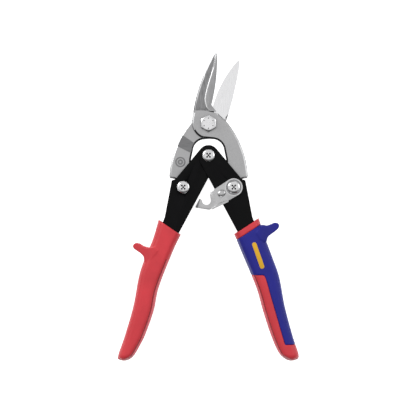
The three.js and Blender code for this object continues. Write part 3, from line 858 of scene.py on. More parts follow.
@dataclass
class Jaw:
    """A jaw: a forged plate with a disc and a tail, and its ground blade."""

    node: str
    name: str
    body: str
    blade: GroundBlade
    faces_front: bool
    rim_width: float = 1.5
    flat_from: float = 2.0
    stamp_depth: float = 0.18
    hole_reach: float = 5.0
    smooth_below: float = 15.0
    flat_normal: float = 0.9995

    def side(self) -> float:
        """1 for the front jaw and -1 for the back one, which is turned over about Y."""
        return 1.0 if self.faces_front else -1.0

    def build(self) -> bpy.types.Object:
        """Shapes the jaw.

        Returns:
            The jaw.
        """
        plate = copy_of(self.node, self.name)
        cut = LAYOUT.at(0, self.blade.foot)
        with editing(plate, "FACE"):
            slice_at(cut, (0, 1, 0), cut=True)
        self.round_rim(plate)
        if not self.faces_front:
            self.stamp(plate)
        blade = self.blade.build(self.name + "_blade")
        side = self.side()
        for vertex in blade.data.vertices:
            x, y, z = vertex.co
            vertex.co = LAYOUT.at(side * x, y, side * z)
        combine(plate, blade, "UNION")
        face_outwards(plate)
        smooth(plate, self.smooth_below)
        for face in plate.data.polygons:
            face.use_smooth = abs(face.normal.z) < self.flat_normal
        return plate

    def round_rim(self, plate: bpy.types.Object) -> None:
        """Chamfers the rims of the plate's upper face, apart from those of its holes."""
        foot = self.blade.foot - 0.05

        def on_rim(edge: bmesh.types.BMEdge) -> bool:
            if len(edge.link_faces) != 2:
                return False
            faces = sorted(edge.link_faces, key=lambda f: -f.normal.z)
            places = [LAYOUT.local(v.co) for v in edge.verts]
            if faces[0].normal.z < 0.9 or abs(faces[1].normal.z) > 0.5:
                return False
            top = foot if self.faces_front else self.flat_from + 3
            return max(p.y for p in places) < top and not self.in_hole(places)

        with editing(plate) as mesh:
            picked = pick(plate, mesh.edges, on_rim)
            bpy.ops.mesh.bevel(offset=self.rim_width * MM, segments=2, profile=0.5,
                               affect="EDGES", clamp_overlap=False)
        log.info("%s has %d rim edges", self.name, picked)

    def stamp(self, plate: bpy.types.Object) -> None:
        """Presses a plain band and a plain round mark into the back jaw's tail."""
        depth = -0.05 - self.stamp_depth
        band = slab("band", ((-26.5, -5.75), (-8, -18.5), (-11, -25.95), (-32.2, -15.3)),
                    depth, 1)
        combine(plate, band, "DIFFERENCE")
        x, y, z = LAYOUT.at(-23.3, -31.6, depth)
        rings = ((4.3, 3.1), (2.3, 0.9))
        for outer, inner in rings:
            groove = turned("groove", [(inner * MM, z), (outer * MM, z), (outer * MM, z + MM),
                                       (inner * MM, z + MM)], x, y, solid=False)
            combine(plate, groove, "DIFFERENCE")
        cuts = [(0, self.flat_from, 0), (0, -25.4, 0), (0, -31.6, 0), (0, -52.57, 0),
                (-23.3, 0, 1), (-20.7, 0, 1)]
        with editing(plate, "FACE"):
            for x, y, across in cuts:
                slice_at(LAYOUT.at(x, y), (across, 1 - across, 0))

    def in_hole(self, places: Sequence[Vector]) -> bool:
        """Whether all the points lie on the rim of a hole."""
        centres = [Vector((0, 0))] + [LAYOUT.local(p).xy for p in (LAYOUT.left, LAYOUT.right)]
        return any(all((p.xy - c).length < self.hole_reach for p in places) for c in centres)

    def dress(self, jaw: bpy.types.Object) -> None:
        """Gives each part of the jaw its own finish, painted shade and highlight among them."""
        finishes = [SATIN, RIM, OUTER_GRIND_SHADED, INNER_GRIND_HALF_SHADED, FLAT_GRIND, STAMPED_BAND_AND_SHADE, PAINTED_SHADE,
                    EDGE, PAINTED_HIGHLIGHT]
        slot = "forged_steel" if self.faces_front else "polished_steel"
        dress(jaw, self.body, slot, *finishes, node=self.node)
        for face in jaw.data.polygons:
            face.material_index = finishes.index(self.finish_of(face))

    def finish_of(self, face: bpy.types.MeshPolygon) -> Steel:
        """The finish of one face, by its place and the way it faces, with painted shade on the
        blade's facets and sloping rims and a painted highlight on its crest.

        Args:
            face: The face.

        Returns:
            Its finish.
        """
        side = self.side()
        place = LAYOUT.local(face.center)
        up = face.normal.z * side
        x, y, z = place.x * side, place.y, place.z * side
        if y > self.blade.foot and up > 0.3:
            crest = through(self.blade.ridge, y)
            spine = (x - self.blade.left_at(y)) / self.blade.chamfer
            # Painted shade on the outermost strip of the spine's chamfer.
            if spine < self.blade.rim_start and y < self.blade.rim_end:
                return EDGE
            if spine < 0.97 and y < self.blade.rim_end:
                return RIM
            # Painted highlight along the crest.
            if abs(x - crest) < 0.4 and y < self.blade.crest_end:
                return PAINTED_HIGHLIGHT
            # Painted shade: the darker tone on the outer facet, a lighter one on the inner facet.
            return OUTER_GRIND_SHADED if x < crest else INNER_GRIND_HALF_SHADED
        if up < -0.97 and not self.faces_front:
            if y > self.flat_from:
                return FLAT_GRIND
            return STAMPED_BAND_AND_SHADE if z > 0.1 else SATIN
        if 0.2 < face.normal.z < 0.95:
            away = Vector((place.x, place.y)) - LAYOUT.local(LAYOUT.centre).xy
            # Painted shade on rims that face the centre rivet or lie in the crotch.
            if face.normal.xy.dot(away) < 0 or (abs(place.x) < 10 and y < -9):
                return PAINTED_SHADE
            # Steeper outer rims get painted shade.
            return RIM if face.normal.z > 0.7 else EDGE
        return SATIN


# ---- Rivets and bolt ------------------------------------------------------------------------


def darken_marks(obj: bpy.types.Object, depth: float) -> None:
    """Puts a piece's second finish on the small faces of its marks, near its top.

    Args:
        obj: The piece.
        depth: How far below its top the marks lie at most, in millimetres.
    """
    top = max(v.co.z for v in obj.data.vertices)
    for face in obj.data.polygons:
        if top - face.center.z > depth * MM:
            continue
        corners = [obj.data.vertices[i].co for i in face.vertices]
        spread = max((a - face.center).length for a in corners)
        if face.area < 0.12 * MM * MM and spread < 0.4 * MM and Marks.near(face.center):
            face.material_index = 1


MARK_LIFT = 0.2  # how far above the surface the ball that presses a mark is centred


class Marks:
    """Where marks were pressed, so that their faces can be found again."""

    places: list[tuple[Vector, float]] = []

    @classmethod
    def near(cls, point: Vector) -> bool:
        """Whether a point lies on the ball that pressed one of the marks."""
        return any(abs((point - place).length - radius) < 0.03 * MM
                   for place, radius in cls.places)


@dataclass
class Rivet:
    """A rivet with a domed head and five small punch marks in front, and a flat head behind."""

    node: str
    name: str
    body: str
    shank: float = 4.0
    neck: float = 0
    neck_from: float = 5.55
    head: float = 5.1
    head_height: float = 1.9
    back_height: float = 1.4
    dome_steps: int = 10
    mark_place: Point = (1.15, 1.35)
    mark_radius: float = 0.85

    def build(self) -> bpy.types.Object:
        """Turns the rivet.

        Returns:
            The rivet.
        """
        low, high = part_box(self.node)
        x, y = (low.x + high.x) / 2, (low.y + high.y) / 2
        head, rim = self.head * MM, 0.5 * MM
        seat = high.z - self.head_height * MM
        back = low.z + self.back_height * MM
        profile = [(head - 1.5 * MM, low.z), (head - 0.7 * MM, low.z + 0.18 * MM),
                   (head - 0.15 * MM, low.z + 0.7 * MM), (head, back - 0.25 * MM),
                   (head - 0.1 * MM, back), (self.shank * MM, back)]
        if self.neck:
            step = LAYOUT.shear + self.neck_from * MM
            profile += [(self.shank * MM, step), (self.neck * MM, step), (self.neck * MM, seat)]
        else:
            profile.append((self.shank * MM, seat))
        profile += [(head - 0.12 * MM, seat), (head, seat + 0.12 * MM)]
        for step in range(self.dome_steps):
            angle = step / self.dome_steps * math.pi / 2
            height = seat + rim + (self.head_height * MM - rim) * math.sin(angle)
            profile.append((head * math.cos(angle) ** 0.8, height))
        obj = turned(self.name, profile, x, y)
        dx, dy = self.mark_place
        marks = [Vector((x + i * dx * MM, y + j * dy * MM, high.z + MARK_LIFT * MM))
                 for i, j in ((1, 1), (1, -1), (-1, 1), (-1, -1), (0, 0))]
        dents(obj, marks, self.mark_radius)
        smooth(obj, 35)
        return obj

    def dress(self, obj: bpy.types.Object) -> None:
        """Plates the rivet, with its punch marks coloured darker."""
        dress(obj, self.body, "bright_steel", PLATED, DENT_DARK, node=self.node)
        darken_marks(obj, self.head_height)


@dataclass
class PivotBolt:
    """The hexagon bolt that joins the jaws, with its lock washer and nut."""

    body: str = "jaw_front"
    mark_ring: float = 4.2
    mark_radius: float = 0.5
    mark_depth: float = 0.6
    bolt_hole: float = 4.1
    head_from: float = 3.7

    def build(self) -> list[bpy.types.Object]:
        """Shapes the bolt, washer and nut.

        Returns:
            The three pieces.
        """
        bolt = copy_of("pivot_bolt", "hexagon_bolt")
        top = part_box("pivot_bolt")[1].z
        soften(bolt, 0.3, 3)
        marks = []
        for corner in range(6):
            angle = math.radians(90 + 60 * corner)
            arm = Vector((math.cos(angle), math.sin(angle), 0)) * self.mark_ring * MM
            place = LAYOUT.bolt + arm
            marks.append(Vector((place.x, place.y, top + MARK_LIFT * MM)))
        dents(bolt, marks, self.mark_radius)
        smooth(bolt)
        nut = copy_of("pivot_nut", "lock_nut")
        soften(nut, 0.25, 2)
        smooth(nut)
        washer = plain_ring("spring_washer", "pivot_washer", self.bolt_hole, 0.2)
        return [bolt, nut, washer]

    def dress(self, pieces: Sequence[bpy.types.Object]) -> None:
        """Plates the three pieces, with the bolt's marks coloured darker and painted shade on the
        sides of its head.
        """
        bolt, nut, washer = pieces
        dress(bolt, self.body, "bright_steel", PLATED, DENT_DARK, PAINTED_SHADE, node="pivot_bolt")
        darken_marks(bolt, self.mark_depth)
        # Painted shade on the sides of the hexagon head.
        for face in bolt.data.polygons:
            if abs(face.normal.z) < 0.3 and face.center.z > LAYOUT.at(0, 0, self.head_from).z:
                face.material_index = 2
        dress(nut, self.body, "bright_steel", PLATED, node="pivot_nut")
        dress(washer, self.body, "spring_steel", SPRUNG, node="pivot_washer")


# ---- Handles --------------------------------------------------------------------------------


@dataclass
class Channel:
    """A handle's folded steel channel."""

    node: str
    name: str
    body: str
    side: float
    fold: float = 2.3
    edge: float = 0.3
    web_above: float = 5.6

    def build(self) -> bpy.types.Object:
        """Rounds the folds of the sheet and softens its sheared edges.

        Returns:
            The channel.
        """
        obj = copy_of(self.node, self.name)
        low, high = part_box(self.node)
        tail = LAYOUT.right if self.side > 0 else LAYOUT.left
        web_from = tail.y + self.web_above * MM

        def on_fold(edge: bmesh.types.BMEdge) -> bool:
            heights = [v.co.z for v in edge.verts]
            flat = all(abs(z - high.z) < 1e-5 for z in heights) or all(
                abs(z - low.z) < 1e-5 for z in heights)
            if not flat or max(v.co.y for v in edge.verts) > web_from + 1e-4:
                return False
            if abs(edge.verts[0].co.y - edge.verts[1].co.y) < 0.3 * MM:
                return False
            wall = [f for f in edge.link_faces if abs(f.normal.z) < 0.5]
            return len(wall) == 1 and wall[0].normal.x * self.side > 0.6

        with editing(obj) as mesh:
            picked = pick(obj, mesh.edges, on_fold)
            bpy.ops.mesh.bevel(offset=self.fold * MM, segments=6, profile=0.5, affect="EDGES",
                               clamp_overlap=True)
        log.info("%s has %d folded edges", self.name, picked)
        soften(obj, self.edge, 2, 40)
        smooth(obj, 35)
        return obj

    def dress(self, obj: bpy.types.Object) -> None:
        """Paints the channel, with a painted highlight in lighter paint along its folds and
        sheared edges.
        """
        dress(obj, self.body, "black_paint", BLACK, FOLD_HIGHLIGHT, node=self.node)
        # Painted highlight on the faces that slope part way up.
        for face in obj.data.polygons:
            face.material_index = int(0.3 < face.normal.z < 0.9)


@dataclass
class ReturnSpring:
    """The torsion spring on its bush between the flanges."""

    wire: float = 0.7
    coil: float = 5.75
    turns: int = 3
    spacer: float = 6.0
    overrun: float = 3.5
    rise: float = 2.65
    points: int = 220
    rest_gap: float = 0.15
    blend_reach: float = 4.0

    def path(self) -> list[Vector]:
        """The wire's middle line.

        Returns:
            Points from the left leg's end to the right leg's.
        """
        centre, right = LAYOUT.local(LAYOUT.centre), LAYOUT.local(LAYOUT.right)
        link = (right.xy - centre.xy).length
        contact = self.coil + self.spacer + self.wire + self.rest_gap
        leg_angle = math.atan2(right.y - centre.y, right.x) - math.asin(contact / link)
        leg = math.sqrt(link ** 2 - contact ** 2) + self.overrun
        sweep = self.turns * math.tau + math.pi - 2 * (leg_angle + math.pi / 2)
        middle = math.pi / 2 + self.turns * math.pi
        coil_length = sweep * self.coil
        total = coil_length + 2 * leg
        line = []
        for step in range(self.points + 1):
            walked = (step / self.points - 0.5) * total
            side = math.copysign(1, walked)
            on_leg = max(0.0, abs(walked) - coil_length / 2)
            wound = max(-1.0, min(1.0, walked / (coil_length / 2)))
            angle = middle - wound * sweep / 2
            line.append(LAYOUT.at(
                self.coil * math.cos(angle) + side * on_leg * math.cos(leg_angle),
                centre.y + self.coil * math.sin(angle) + on_leg * math.sin(leg_angle),
                -wound * self.rise))
        return line

    def build(self) -> bpy.types.Object:
        """Winds the spring as a round wire.

        Returns:
            The spring.
        """
        line = self.path()
        curve = bpy.data.curves.new("wound_spring", "CURVE")
        curve.dimensions = "3D"
        curve.bevel_depth = self.wire * MM
        curve.bevel_resolution = 4
        curve.use_fill_caps = True
        spline = curve.splines.new("POLY")
        spline.points.add(len(line) - 1)
        for point, place in zip(spline.points, line):
            point.co = (*place, 1)
        obj = bpy.data.objects.new("wound_spring", curve)
        bpy.context.scene.collection.objects.link(obj)
        activate(obj)
        bpy.ops.object.convert(target="MESH")
        obj = bpy.context.active_object
        face_outwards(obj)
        smooth(obj, 60)
        return obj

    def dress(self, obj: bpy.types.Object) -> None:
        """Oils the spring, which rides on no body."""
        obj.data.materials.append(Palette.of(SPRUNG))
        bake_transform(obj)
        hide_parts("return_spring")


@dataclass
class PivotRings:
    """The spacers, the spring's bush and the latch's washer."""

    rivet_hole: float = 4.1
    bush_hole: float = 3.3

    def build_and_dress(self) -> None:
        """Turns each ring and plates it."""
        for node, body in (("right_front_spacer", "handle_right"),
                           ("right_back_spacer", "handle_right"),
                           ("left_front_spacer", "handle_left"),
                           ("left_back_spacer", "handle_left")):
            ring = plain_ring(node + "_ring", node, self.rivet_hole, 0.25)
            dress(ring, body, "bright_steel", PLATED, node=node)
        bush = plain_ring("turned_bush", "spring_bush", self.bush_hole, 0.2)
        dress(bush, "handle_right", "bright_steel", PLATED, node="spring_bush")
        washer = plain_ring("wave_washer", "latch_washer", self.rivet_hole, 0.1)
        dress(washer, "handle_right", "spring_steel", SPRUNG, node="latch_washer")


@dataclass
class Latch:
    """The pressed hook that holds the handles closed."""

    edge: float = 0.28
    ring: float = 8.5
    ring_level: float = 9.3
    hook_level: float = -60
    # Where painted shade on the hook end starts and where it turns darkest, in millimetres from
    # the bolt's axis.
    half_shade_from: float = -6
    full_shade_from: float = -8.3
    slant: float = 0.3

    def build(self) -> bpy.types.Object:
        """Softens the pressed plate's edges.

        Returns:
            The latch.
        """
        obj = copy_of("latch", "pressed_latch")
        soften(obj, self.edge, 3, 35)
        with editing(obj, "FACE"):
            # Splits the plate along the borders of the hook end's painted shade.
            for x in (self.half_shade_from, self.full_shade_from):
                slice_at(LAYOUT.at(x, self.hook_level), (1, -self.slant, 0))
        smooth(obj, 40)
        return obj

    def dress(self, obj: bpy.types.Object) -> None:
        """Gives the latch its satin finish, a painted highlight on the rim by the rivet and
        painted shade that darkens in two steps towards the hook end.
        """
        dress(obj, "latch", "latch_steel", PRESSED, PAINTED_HIGHLIGHT, STAMPED_BAND_AND_SHADE, PAINTED_SHADE, node="latch")
        flat_top = LAYOUT.at(0, 0, self.ring_level).z
        for face in obj.data.polygons:
            # Painted highlight on the raised rim round the rivet.
            by_rivet = (face.center.xy - LAYOUT.right.xy).length < self.ring * MM
            if by_rivet and face.center.z > flat_top and face.normal.z > 0.35:
                face.material_index = 1
            # Painted shade on the hook end: the stamped-band tone past the first line, the
            # near-black past the second.
            place = LAYOUT.local(face.center)
            past = place.x - self.slant * (place.y - self.hook_level)
            if past < self.half_shade_from:
                face.material_index = 3 if past < self.full_shade_from else 2


def smooth_run(points: Sequence[Point], steps: int = 8) -> list[Point]:
    """A smooth line through points.

    Args:
        points: The points.
        steps: Number of pieces between two of them.

    Returns:
        Points along the line.
    """
    ends = [points[0], *points, points[-1]]
    line = []
    for k in range(len(points) - 1):
        a, b, c, d = (Vector(p) for p in ends[k:k + 4])
        for step in range(steps):
            t = step / steps
            place = 0.5 * (2 * b + (c - a) * t + (2 * a - 5 * b + 4 * c - d) * t * t
                           + (3 * b - a - 3 * c + d) * t ** 3)
            line.append((place.x, place.y))
    return [*line, points[-1]]


@dataclass(frozen=True)
class GripShape:
    """A grip's outline, in millimetres from the bolt's axis, with x counted outwards."""

    side: float
    collar: tuple[Point, Point]
    inner: tuple[Point, ...]
    outer: tuple[Point, ...]
    guard: tuple[Point, ...]
    half: float = 10.45
    rounding: float = 6.0
    depth: float = 7.4
    crown: float = 0.5
    rows: int = 110
    columns: int = 26
    guard_half: float = 5.6
    guard_root: float = 10.9
    guard_floor: float = 10.3
    guard_length: float = 15.0
    guard_rounding: float = 1.7
    guard_tip: float = 3.0
    guard_cuts: int = 12
    guard_cuts_from: float = 32.0
    guard_cut_step: float = 2.4
    stub: float = 15.0

    def collar_up(self) -> Vector:
        """Direction from the grip through its collar."""
        inner, outer = (Vector(p) for p in self.collar)
        along = (outer - inner).normalized()
        return Vector((-along.y, along.x))

    def outline(self) -> list[Point]:
        """The closed outline, from above the collar down the inner side and up the outer one."""
        up = self.collar_up() * self.stub
        inner, outer = (Vector(p) for p in self.collar)
        return [tuple(inner + up), *smooth_run([self.collar[0], *self.inner]),
                *smooth_run([*self.outer, self.collar[1]]), tuple(outer + up)]

    def span(self, outline: Sequence[Point], y: float) -> Point:
        """The outline's least and greatest x at a height."""
        crossings = []
        for (x0, y0), (x1, y1) in zip(outline, [*outline[1:], outline[0]]):
            if (y0 - y) * (y1 - y) <= 0 and y0 != y1:
                crossings.append(x0 + (x1 - x0) * (y - y0) / (y1 - y0))
        return min(crossings), max(crossings)

    def body(self, name: str, inset: float = 0) -> bpy.types.Object:
        """The long body as a crowned bar with a round end, cut square at the collar.

        Args:
            name: The object's name.
            inset: How far inside the skin it lies, in millimetres.

        Returns:
            A closed body.
        """
        outline = self.outline()
        floor = min(y for _, y in outline) + 0.02 + inset
        ceiling = max(y for _, y in outline) - 0.5
        half = self.half - inset
        deselect_all()
        bpy.ops.mesh.primitive_grid_add(x_subdivisions=self.columns, y_subdivisions=self.rows,
                                        size=1)
        obj = bpy.context.active_object
        obj.name = name
        with editing(obj, "FACE") as mesh:
            ordered = sorted(mesh.verts, key=lambda v: (round(v.co.y, 6), round(v.co.x, 6)))
            for index, vertex in enumerate(ordered):
                row, column = divmod(index, self.columns + 1)
                t = row / self.rows
                y = floor + (ceiling - floor) * (t * t if t < 0.1 else 0.01 + (t - 0.1) * 1.1)
                left, right = self.span(outline, y)
                left, right = left + inset, right - inset
                u = 0.5 - 0.5 * math.cos(math.pi * column / self.columns)
                x = left + (right - left) * u
                from_side = min(x - left, right - x)
                corner = math.hypot(max(0.0, 1 - from_side / self.rounding),
                                    max(0.0, 1 - (y - floor) / self.rounding))
                fall = self.depth * (1 - math.sqrt(max(0.0, 1 - min(1.0, corner) ** 2)))
                z = half - fall - self.crown * (2 * u - 1) ** 2
                vertex.co = Vector((x, y, z))
            for vertex in thicken(obj):
                vertex.co.z = -(vertex.co.z + FAR_DOWN)
            for vertex in bmesh.from_edit_mesh(obj.data).verts:
                vertex.co = LAYOUT.at(self.side * vertex.co.x, vertex.co.y, vertex.co.z)
            bmesh.update_edit_mesh(obj.data)
            up = self.collar_up()
            start = Vector(self.collar[0]) - up * inset
            slice_at(LAYOUT.at(self.side * start.x, start.y), (self.side * up.x, up.y, 0),
                     cut=True)
        face_outwards(obj)
        return obj

    def horn(self) -> bpy.types.Object:
        """The guard that keeps the hand off the blades."""
        obj = slab("horn", [(self.side * x, y) for x, y in smooth_run(self.guard, 4)],
                   -self.guard_half, self.guard_half)
        with editing(obj, "FACE"):
            for step in range(self.guard_cuts):
                x = self.guard_cuts_from + self.guard_cut_step * step
                slice_at(LAYOUT.at(self.side * x, 0), (1, 0, 0))
        tip = max(x for x, _ in self.guard)
        for vertex in obj.data.vertices:
            place = LAYOUT.local(vertex.co)
            swell = ease((tip - self.guard_tip - self.side * place.x) / self.guard_length)
            half = self.guard_half + (self.guard_root - self.guard_half) * swell
            height = half if place.z > 0 else -min(half, self.guard_floor)
            vertex.co = LAYOUT.at(place.x, place.y, height)
        soften(obj, self.guard_rounding, 4, 40)
        return obj


@dataclass
class Grips:
    """The two moulded grips: the left in one piece, the right with a soft cover over its core."""

    left: GripShape
    right: GripShape
    cover: tuple[Point, ...]
    cover_end: float = -181.9
    cover_far: float = 95.0
    cover_overrun: Point = (30.0, 40.0)
    cover_half: float = 14.0
    band: float = 5.0
    wall: float = 1.5
    voxel: float = 0.5
    passes: int = 6
    # Where the painted shade line and the painted highlight strip lie along the inner sides, in
    # millimetres.
    edge_light_from: float = -112.0
    cover_edge_light_from: float = -94.0
    highlight_strip_width: float = 2.0
    shade_line_reach: float = 2.9

    def build(self) -> list[bpy.types.Object]:
        """Shapes the three mouldings.

        Returns:
            The left grip, the right core and the right cover.
        """
        left = self.left.body("left_moulded_grip")
        combine(left, self.left.horn(), "UNION")
        core = self.right.body("right_moulded_core")
        combine(core, self.region(0.12), "DIFFERENCE")
        combine(core, self.right.body("filling", self.wall + 0.1), "UNION")
        cover = self.right.body("right_soft_cover")
        combine(cover, self.right.horn(), "UNION")
        combine(cover, self.region(0), "INTERSECT")
        combine(cover, self.right.body("hollow", self.wall), "DIFFERENCE")
        for piece in (left, core, cover):
            self.relax(piece)
        return [left, core, cover]

    def region(self, gap: float) -> bpy.types.Object:
        """The block that the cover fills: below the collar's band, above a stepped line.

        Args:
            gap: How far it is grown all round, in millimetres.

        Returns:
            The block.
        """
        inner, outer = (Vector(p) for p in self.right.collar)
        along = (outer - inner).normalized()
        drop = self.right.collar_up() * (self.band - gap)
        low = inner - along * self.cover_overrun[0] - drop
        high = outer + along * self.cover_overrun[1] - drop
        end = self.cover_end - gap
        palm = [(x - gap, y) for x, y in smooth_run(self.cover, 6)]
        outline = [tuple(low), tuple(high), (self.cover_far, high.y), (self.cover_far, end),
                   (palm[0][0], end), *palm[1:], (low.x, palm[-1][1] - gap)]
        return slab("region", outline, -self.cover_half, self.cover_half)

    def relax(self, piece: bpy.types.Object) -> None:
        """Melts a moulding's edges as a skin has them."""
        apply(piece, "REMESH", mode="VOXEL", voxel_size=self.voxel * MM, use_smooth_shade=True)
        apply(piece, "SMOOTH", factor=0.5, iterations=self.passes)
        smooth(piece, 60)

    def paint_edge_light(self, piece: bpy.types.Object, shape: GripShape, start: float,
                  shade_line: int = 1, highlight_strip: int = 2) -> None:
        """Paints a line of shade along the inner side, and a highlight on the strip outside it.

        Args:
            piece: The moulding.
            shape: Its outline.
            start: The height below which the line and the strip are painted.
            shade_line: Which of the piece's finishes the painted shade line has.
            highlight_strip: Which one the painted highlight strip has.
        """
        outline = shape.outline()
        lowest = math.ceil(min(y for _, y in outline) * 2) + 1
        spans: dict[int, Point] = {}
        for face in piece.data.polygons:
            place = LAYOUT.local(face.center)
            if place.y > start or face.normal.z < 0.05:
                continue
            row = max(lowest, round(place.y * 2))
            if row not in spans:
                spans[row] = shape.span(outline, row / 2)
            gap = shape.side * place.x - spans[row][0]
            # Painted shade in the line beside the edge, painted highlight in the strip at the
            # edge.
            if gap < self.shade_line_reach:
                face.material_index = highlight_strip if gap < self.highlight_strip_width else shade_line

    def dress(self, pieces: Sequence[bpy.types.Object]) -> None:
        """Gives each moulding its skin, with a painted shade line and a painted highlight strip
        along the inner sides.
        """
        left, core, cover = pieces
        dress(left, "handle_left", "red_vinyl", RED, RED_SHADE_LINE, RED_HIGHLIGHT_STRIP, node="left_grip")
        dress(core, "handle_right", "red_vinyl", RED, RED_SHADE_LINE, RED_HIGHLIGHT_STRIP, node="right_grip")
        dress(cover, "handle_right", "blue_rubber", BLUE, BLUE_HIGHLIGHT_STRIP, node="right_grip_cover")
        self.paint_edge_light(left, self.left, self.edge_light_from)
        self.paint_edge_light(core, self.right, self.edge_light_from)
        self.paint_edge_light(cover, self.right, self.cover_edge_light_from, 0, 1)


@dataclass
class Inlay:
    """A plain yellow bar with round ends, set in the soft cover."""

    start: Point = (37.6, -99.6)
    end: Point = (43.9, -117.6)
    half_width: float = 1.9
    low: float = 9.6
    high: float = 10.62
    steps: int = 12

    def build(self) -> bpy.types.Object:
        """Shapes the bar.

        Returns:
            The bar.
        """
        start, end = Vector(self.start), Vector(self.end)
        heading = math.atan2(end.y - start.y, end.x - start.x)
        outline = []
        for centre, turn in ((end, -math.pi / 2), (start, math.pi / 2)):
            for step in range(self.steps + 1):
                angle = heading + turn + math.pi * step / self.steps
                outline.append((centre.x + self.half_width * math.cos(angle),
                                centre.y + self.half_width * math.sin(angle)))
        obj = slab("yellow_inlay_bar", outline, self.low, self.high)
        soften(obj, 0.3, 3, 60)
        smooth(obj, 40)
        return obj

    def dress(self, obj: bpy.types.Object) -> None:
        """Colours the bar."""
        obj.data.materials.append(Palette.of(YELLOW))
        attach(obj, "handle_right")


LEFT_GRIP = GripShape(
    side=-1.0,
    collar=((22.9, -91.7), (41.3, -79.2)),
    inner=((29.4, -105.3), (41.1, -135.1), (45.2, -154.2), (52.1, -174), (56.6, -183.2),
           (61.2, -191), (64.6, -194.3), (69.3, -195.9), (73, -195.3)),
    outer=((73, -195.3), (75, -192.3), (69.1, -174.9), (62, -150), (57.5, -126), (52.6, -111),
           (46.2, -96)),
    guard=((41, -104.6), (44, -102), (47, -102), (50, -102.2), (53.8, -101), (57.2, -98.9),
           (60.6, -98.7), (62.4, -100.7), (61.3, -103.3), (56.6, -106.5), (53.4, -109.8),
           (52.6, -114), (47, -112)),
)
RIGHT_GRIP = GripShape(
    side=1.0,
    collar=((21.2, -91.2), (41.5, -78)),
    inner=((27.4, -106.2), (39.4, -135.1), (44.9, -154.2), (51.3, -174), (57.6, -188.5),
           (63, -194.1), (67.6, -195.8), (71.6, -195.3)),
    outer=((71.6, -195.3), (74.7, -191.8), (69.4, -174.9), (63, -150.9), (58.5, -126.9),
           (53.2, -111.5), (47.4, -96)),
    guard=((39, -90), (43, -84.5), (45.6, -83.6), (48.4, -84.2), (51.9, -83), (55, -81.7),
           (57.5, -82.4), (58.3, -84.3), (57.2, -86.9), (53.5, -89.9), (49, -93.3),
           (47.2, -97.5), (42, -95)),
)
COVER_EDGE = ((63.3, -181.9), (62.6, -181.1), (57.6, -164.1), (51.8, -144.2), (46.9, -127.3),
              (44.4, -124.8))


# ---- Studio ---------------------------------------------------------------------------------


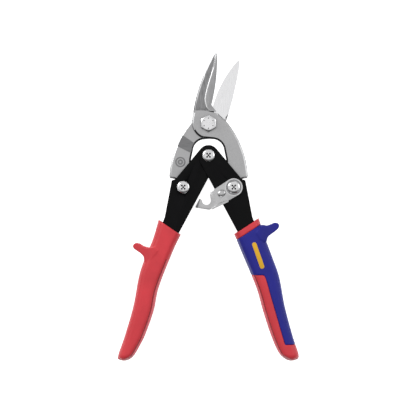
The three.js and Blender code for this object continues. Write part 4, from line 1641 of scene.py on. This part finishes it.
@dataclass
class Studio:
    """A white table, a soft sky with two lamps and a camera straight above."""

    view_width: float = 344.4
    view_centre: Point = (-0.33, -1.0)
    lens: float = 110
    sensor: float = 36
    table_size: float = 6.0
    table_glow: float = 0.97

    def build(self) -> None:
        """Sets up the table, the light and the camera."""
        self.table()
        self.sky()
        self.lamps()
        self.camera()

    def table(self) -> None:
        """Lays a glowing white table under the snips."""
        deselect_all()
        bpy.ops.mesh.primitive_plane_add(size=self.table_size, location=(0, 0, -0.0003))
        table = bpy.context.active_object
        table.name = "white_table"
        material = bpy.data.materials.new("white_table")
        material.use_nodes = True
        shader = material.node_tree.nodes["Principled BSDF"]
        shader.inputs["Base Color"].default_value = (0.85, 0.85, 0.85, 1)
        shader.inputs["Roughness"].default_value = 0.9
        shader.inputs["Specular IOR Level"].default_value = 0.0
        shader.inputs["Emission Color"].default_value = (1, 1, 1, 1)
        shader.inputs["Emission Strength"].default_value = self.table_glow
        table.data.materials.append(material)
        table.visible_diffuse = False

    def sky(self) -> None:
        """Lights the room: dim near the horizon, bright overhead and dark beyond the grips."""
        world = bpy.data.worlds.new("studio")
        bpy.context.scene.world = world
        world.use_nodes = True
        tree = world.node_tree
        place = tree.nodes.new("ShaderNodeTexCoord")
        split = tree.nodes.new("ShaderNodeSeparateXYZ")
        ramp = tree.nodes.new("ShaderNodeValToRGB")
        stops = [(0.0, 0.3), (0.45, 0.4), (0.72, 0.95), (0.9, 0.7), (0.97, 0.92)]
        while len(ramp.color_ramp.elements) < len(stops):
            ramp.color_ramp.elements.new(0.5)
        for element, (position, grey) in zip(ramp.color_ramp.elements, stops):
            element.position = position
            element.color = (grey, grey, grey, 1)
        card = tree.nodes.new("ShaderNodeMapRange")
        card.interpolation_type = "SMOOTHSTEP"
        card.inputs["From Min"].default_value = -0.62
        card.inputs["From Max"].default_value = -0.18
        card.inputs["To Min"].default_value = 0.12
        dim = tree.nodes.new("ShaderNodeVectorMath")
        dim.operation = "SCALE"
        tree.links.new(place.outputs["Generated"], split.inputs["Vector"])
        tree.links.new(split.outputs["Z"], ramp.inputs["Fac"])
        tree.links.new(split.outputs["Y"], card.inputs["Value"])
        tree.links.new(ramp.outputs["Color"], dim.inputs["Vector"])
        tree.links.new(card.outputs["Result"], dim.inputs["Scale"])
        tree.links.new(dim.outputs["Vector"], tree.nodes["Background"].inputs["Color"])
        tree.nodes["Background"].inputs["Strength"].default_value = 1.0

    def lamps(self) -> None:
        """Hangs the soft boxes."""
        for name, place, width, length, power in (
                ("key", (-1.0, 0.7, 0.8), 0.7, 0.7, 7.0),
                ("fill", (1.1, 0.3, 0.6), 0.7, 0.7, 3.0)):
            lamp = bpy.data.lights.new(name, "AREA")
            lamp.shape = "RECTANGLE"
            lamp.size, lamp.size_y = width, length
            lamp.energy = power
            obj = bpy.data.objects.new(name, lamp)
            obj.location = place
            obj.rotation_euler = (-Vector(place)).to_track_quat("-Z", "Y").to_euler()
            bpy.context.scene.collection.objects.link(obj)

    def camera(self) -> None:
        """Hangs the camera straight above the snips."""
        data = bpy.data.cameras.new("overhead")
        data.lens = self.lens
        data.sensor_width = self.sensor
        data.clip_end = 20
        camera = bpy.data.objects.new("overhead", data)
        distance = self.view_width * MM * self.lens / self.sensor
        camera.location = (self.view_centre[0] * MM, self.view_centre[1] * MM,
                           LAYOUT.shear + distance)
        bpy.context.scene.collection.objects.link(camera)
        bpy.context.scene.camera = camera
        bpy.context.scene.view_settings.view_transform = "Standard"


# ---- Whole ----------------------------------------------------------------------------------


def build_snips() -> None:
    """Builds and dresses every piece."""
    pieces = [
        Jaw("front_jaw", "forged_front_jaw", "jaw_front", FRONT_BLADE, True),
        Jaw("back_jaw", "forged_back_jaw", "jaw_back", BACK_BLADE, False),
        PivotBolt(),
        Channel("right_handle_frame", "right_channel", "handle_right", 1.0),
        Channel("left_handle_frame", "left_channel", "handle_left", -1.0),
        Rivet("centre_rivet", "domed_centre_rivet", "handle_right", shank=3.2),
        Rivet("left_rivet", "domed_left_rivet", "handle_left", neck=2.6),
        Rivet("right_rivet", "domed_right_rivet", "handle_right"),
        ReturnSpring(),
        Latch(),
        Grips(LEFT_GRIP, RIGHT_GRIP, COVER_EDGE),
        Inlay(),
    ]
    for piece in pieces:
        piece.dress(piece.build())
    PivotRings().build_and_dress()


def main() -> None:
    """Builds the snips and the studio."""
    logging.basicConfig(level=logging.INFO, format="%(message)s")
    build_snips()
    Studio().build()


if __name__ == "__main__":
    main()
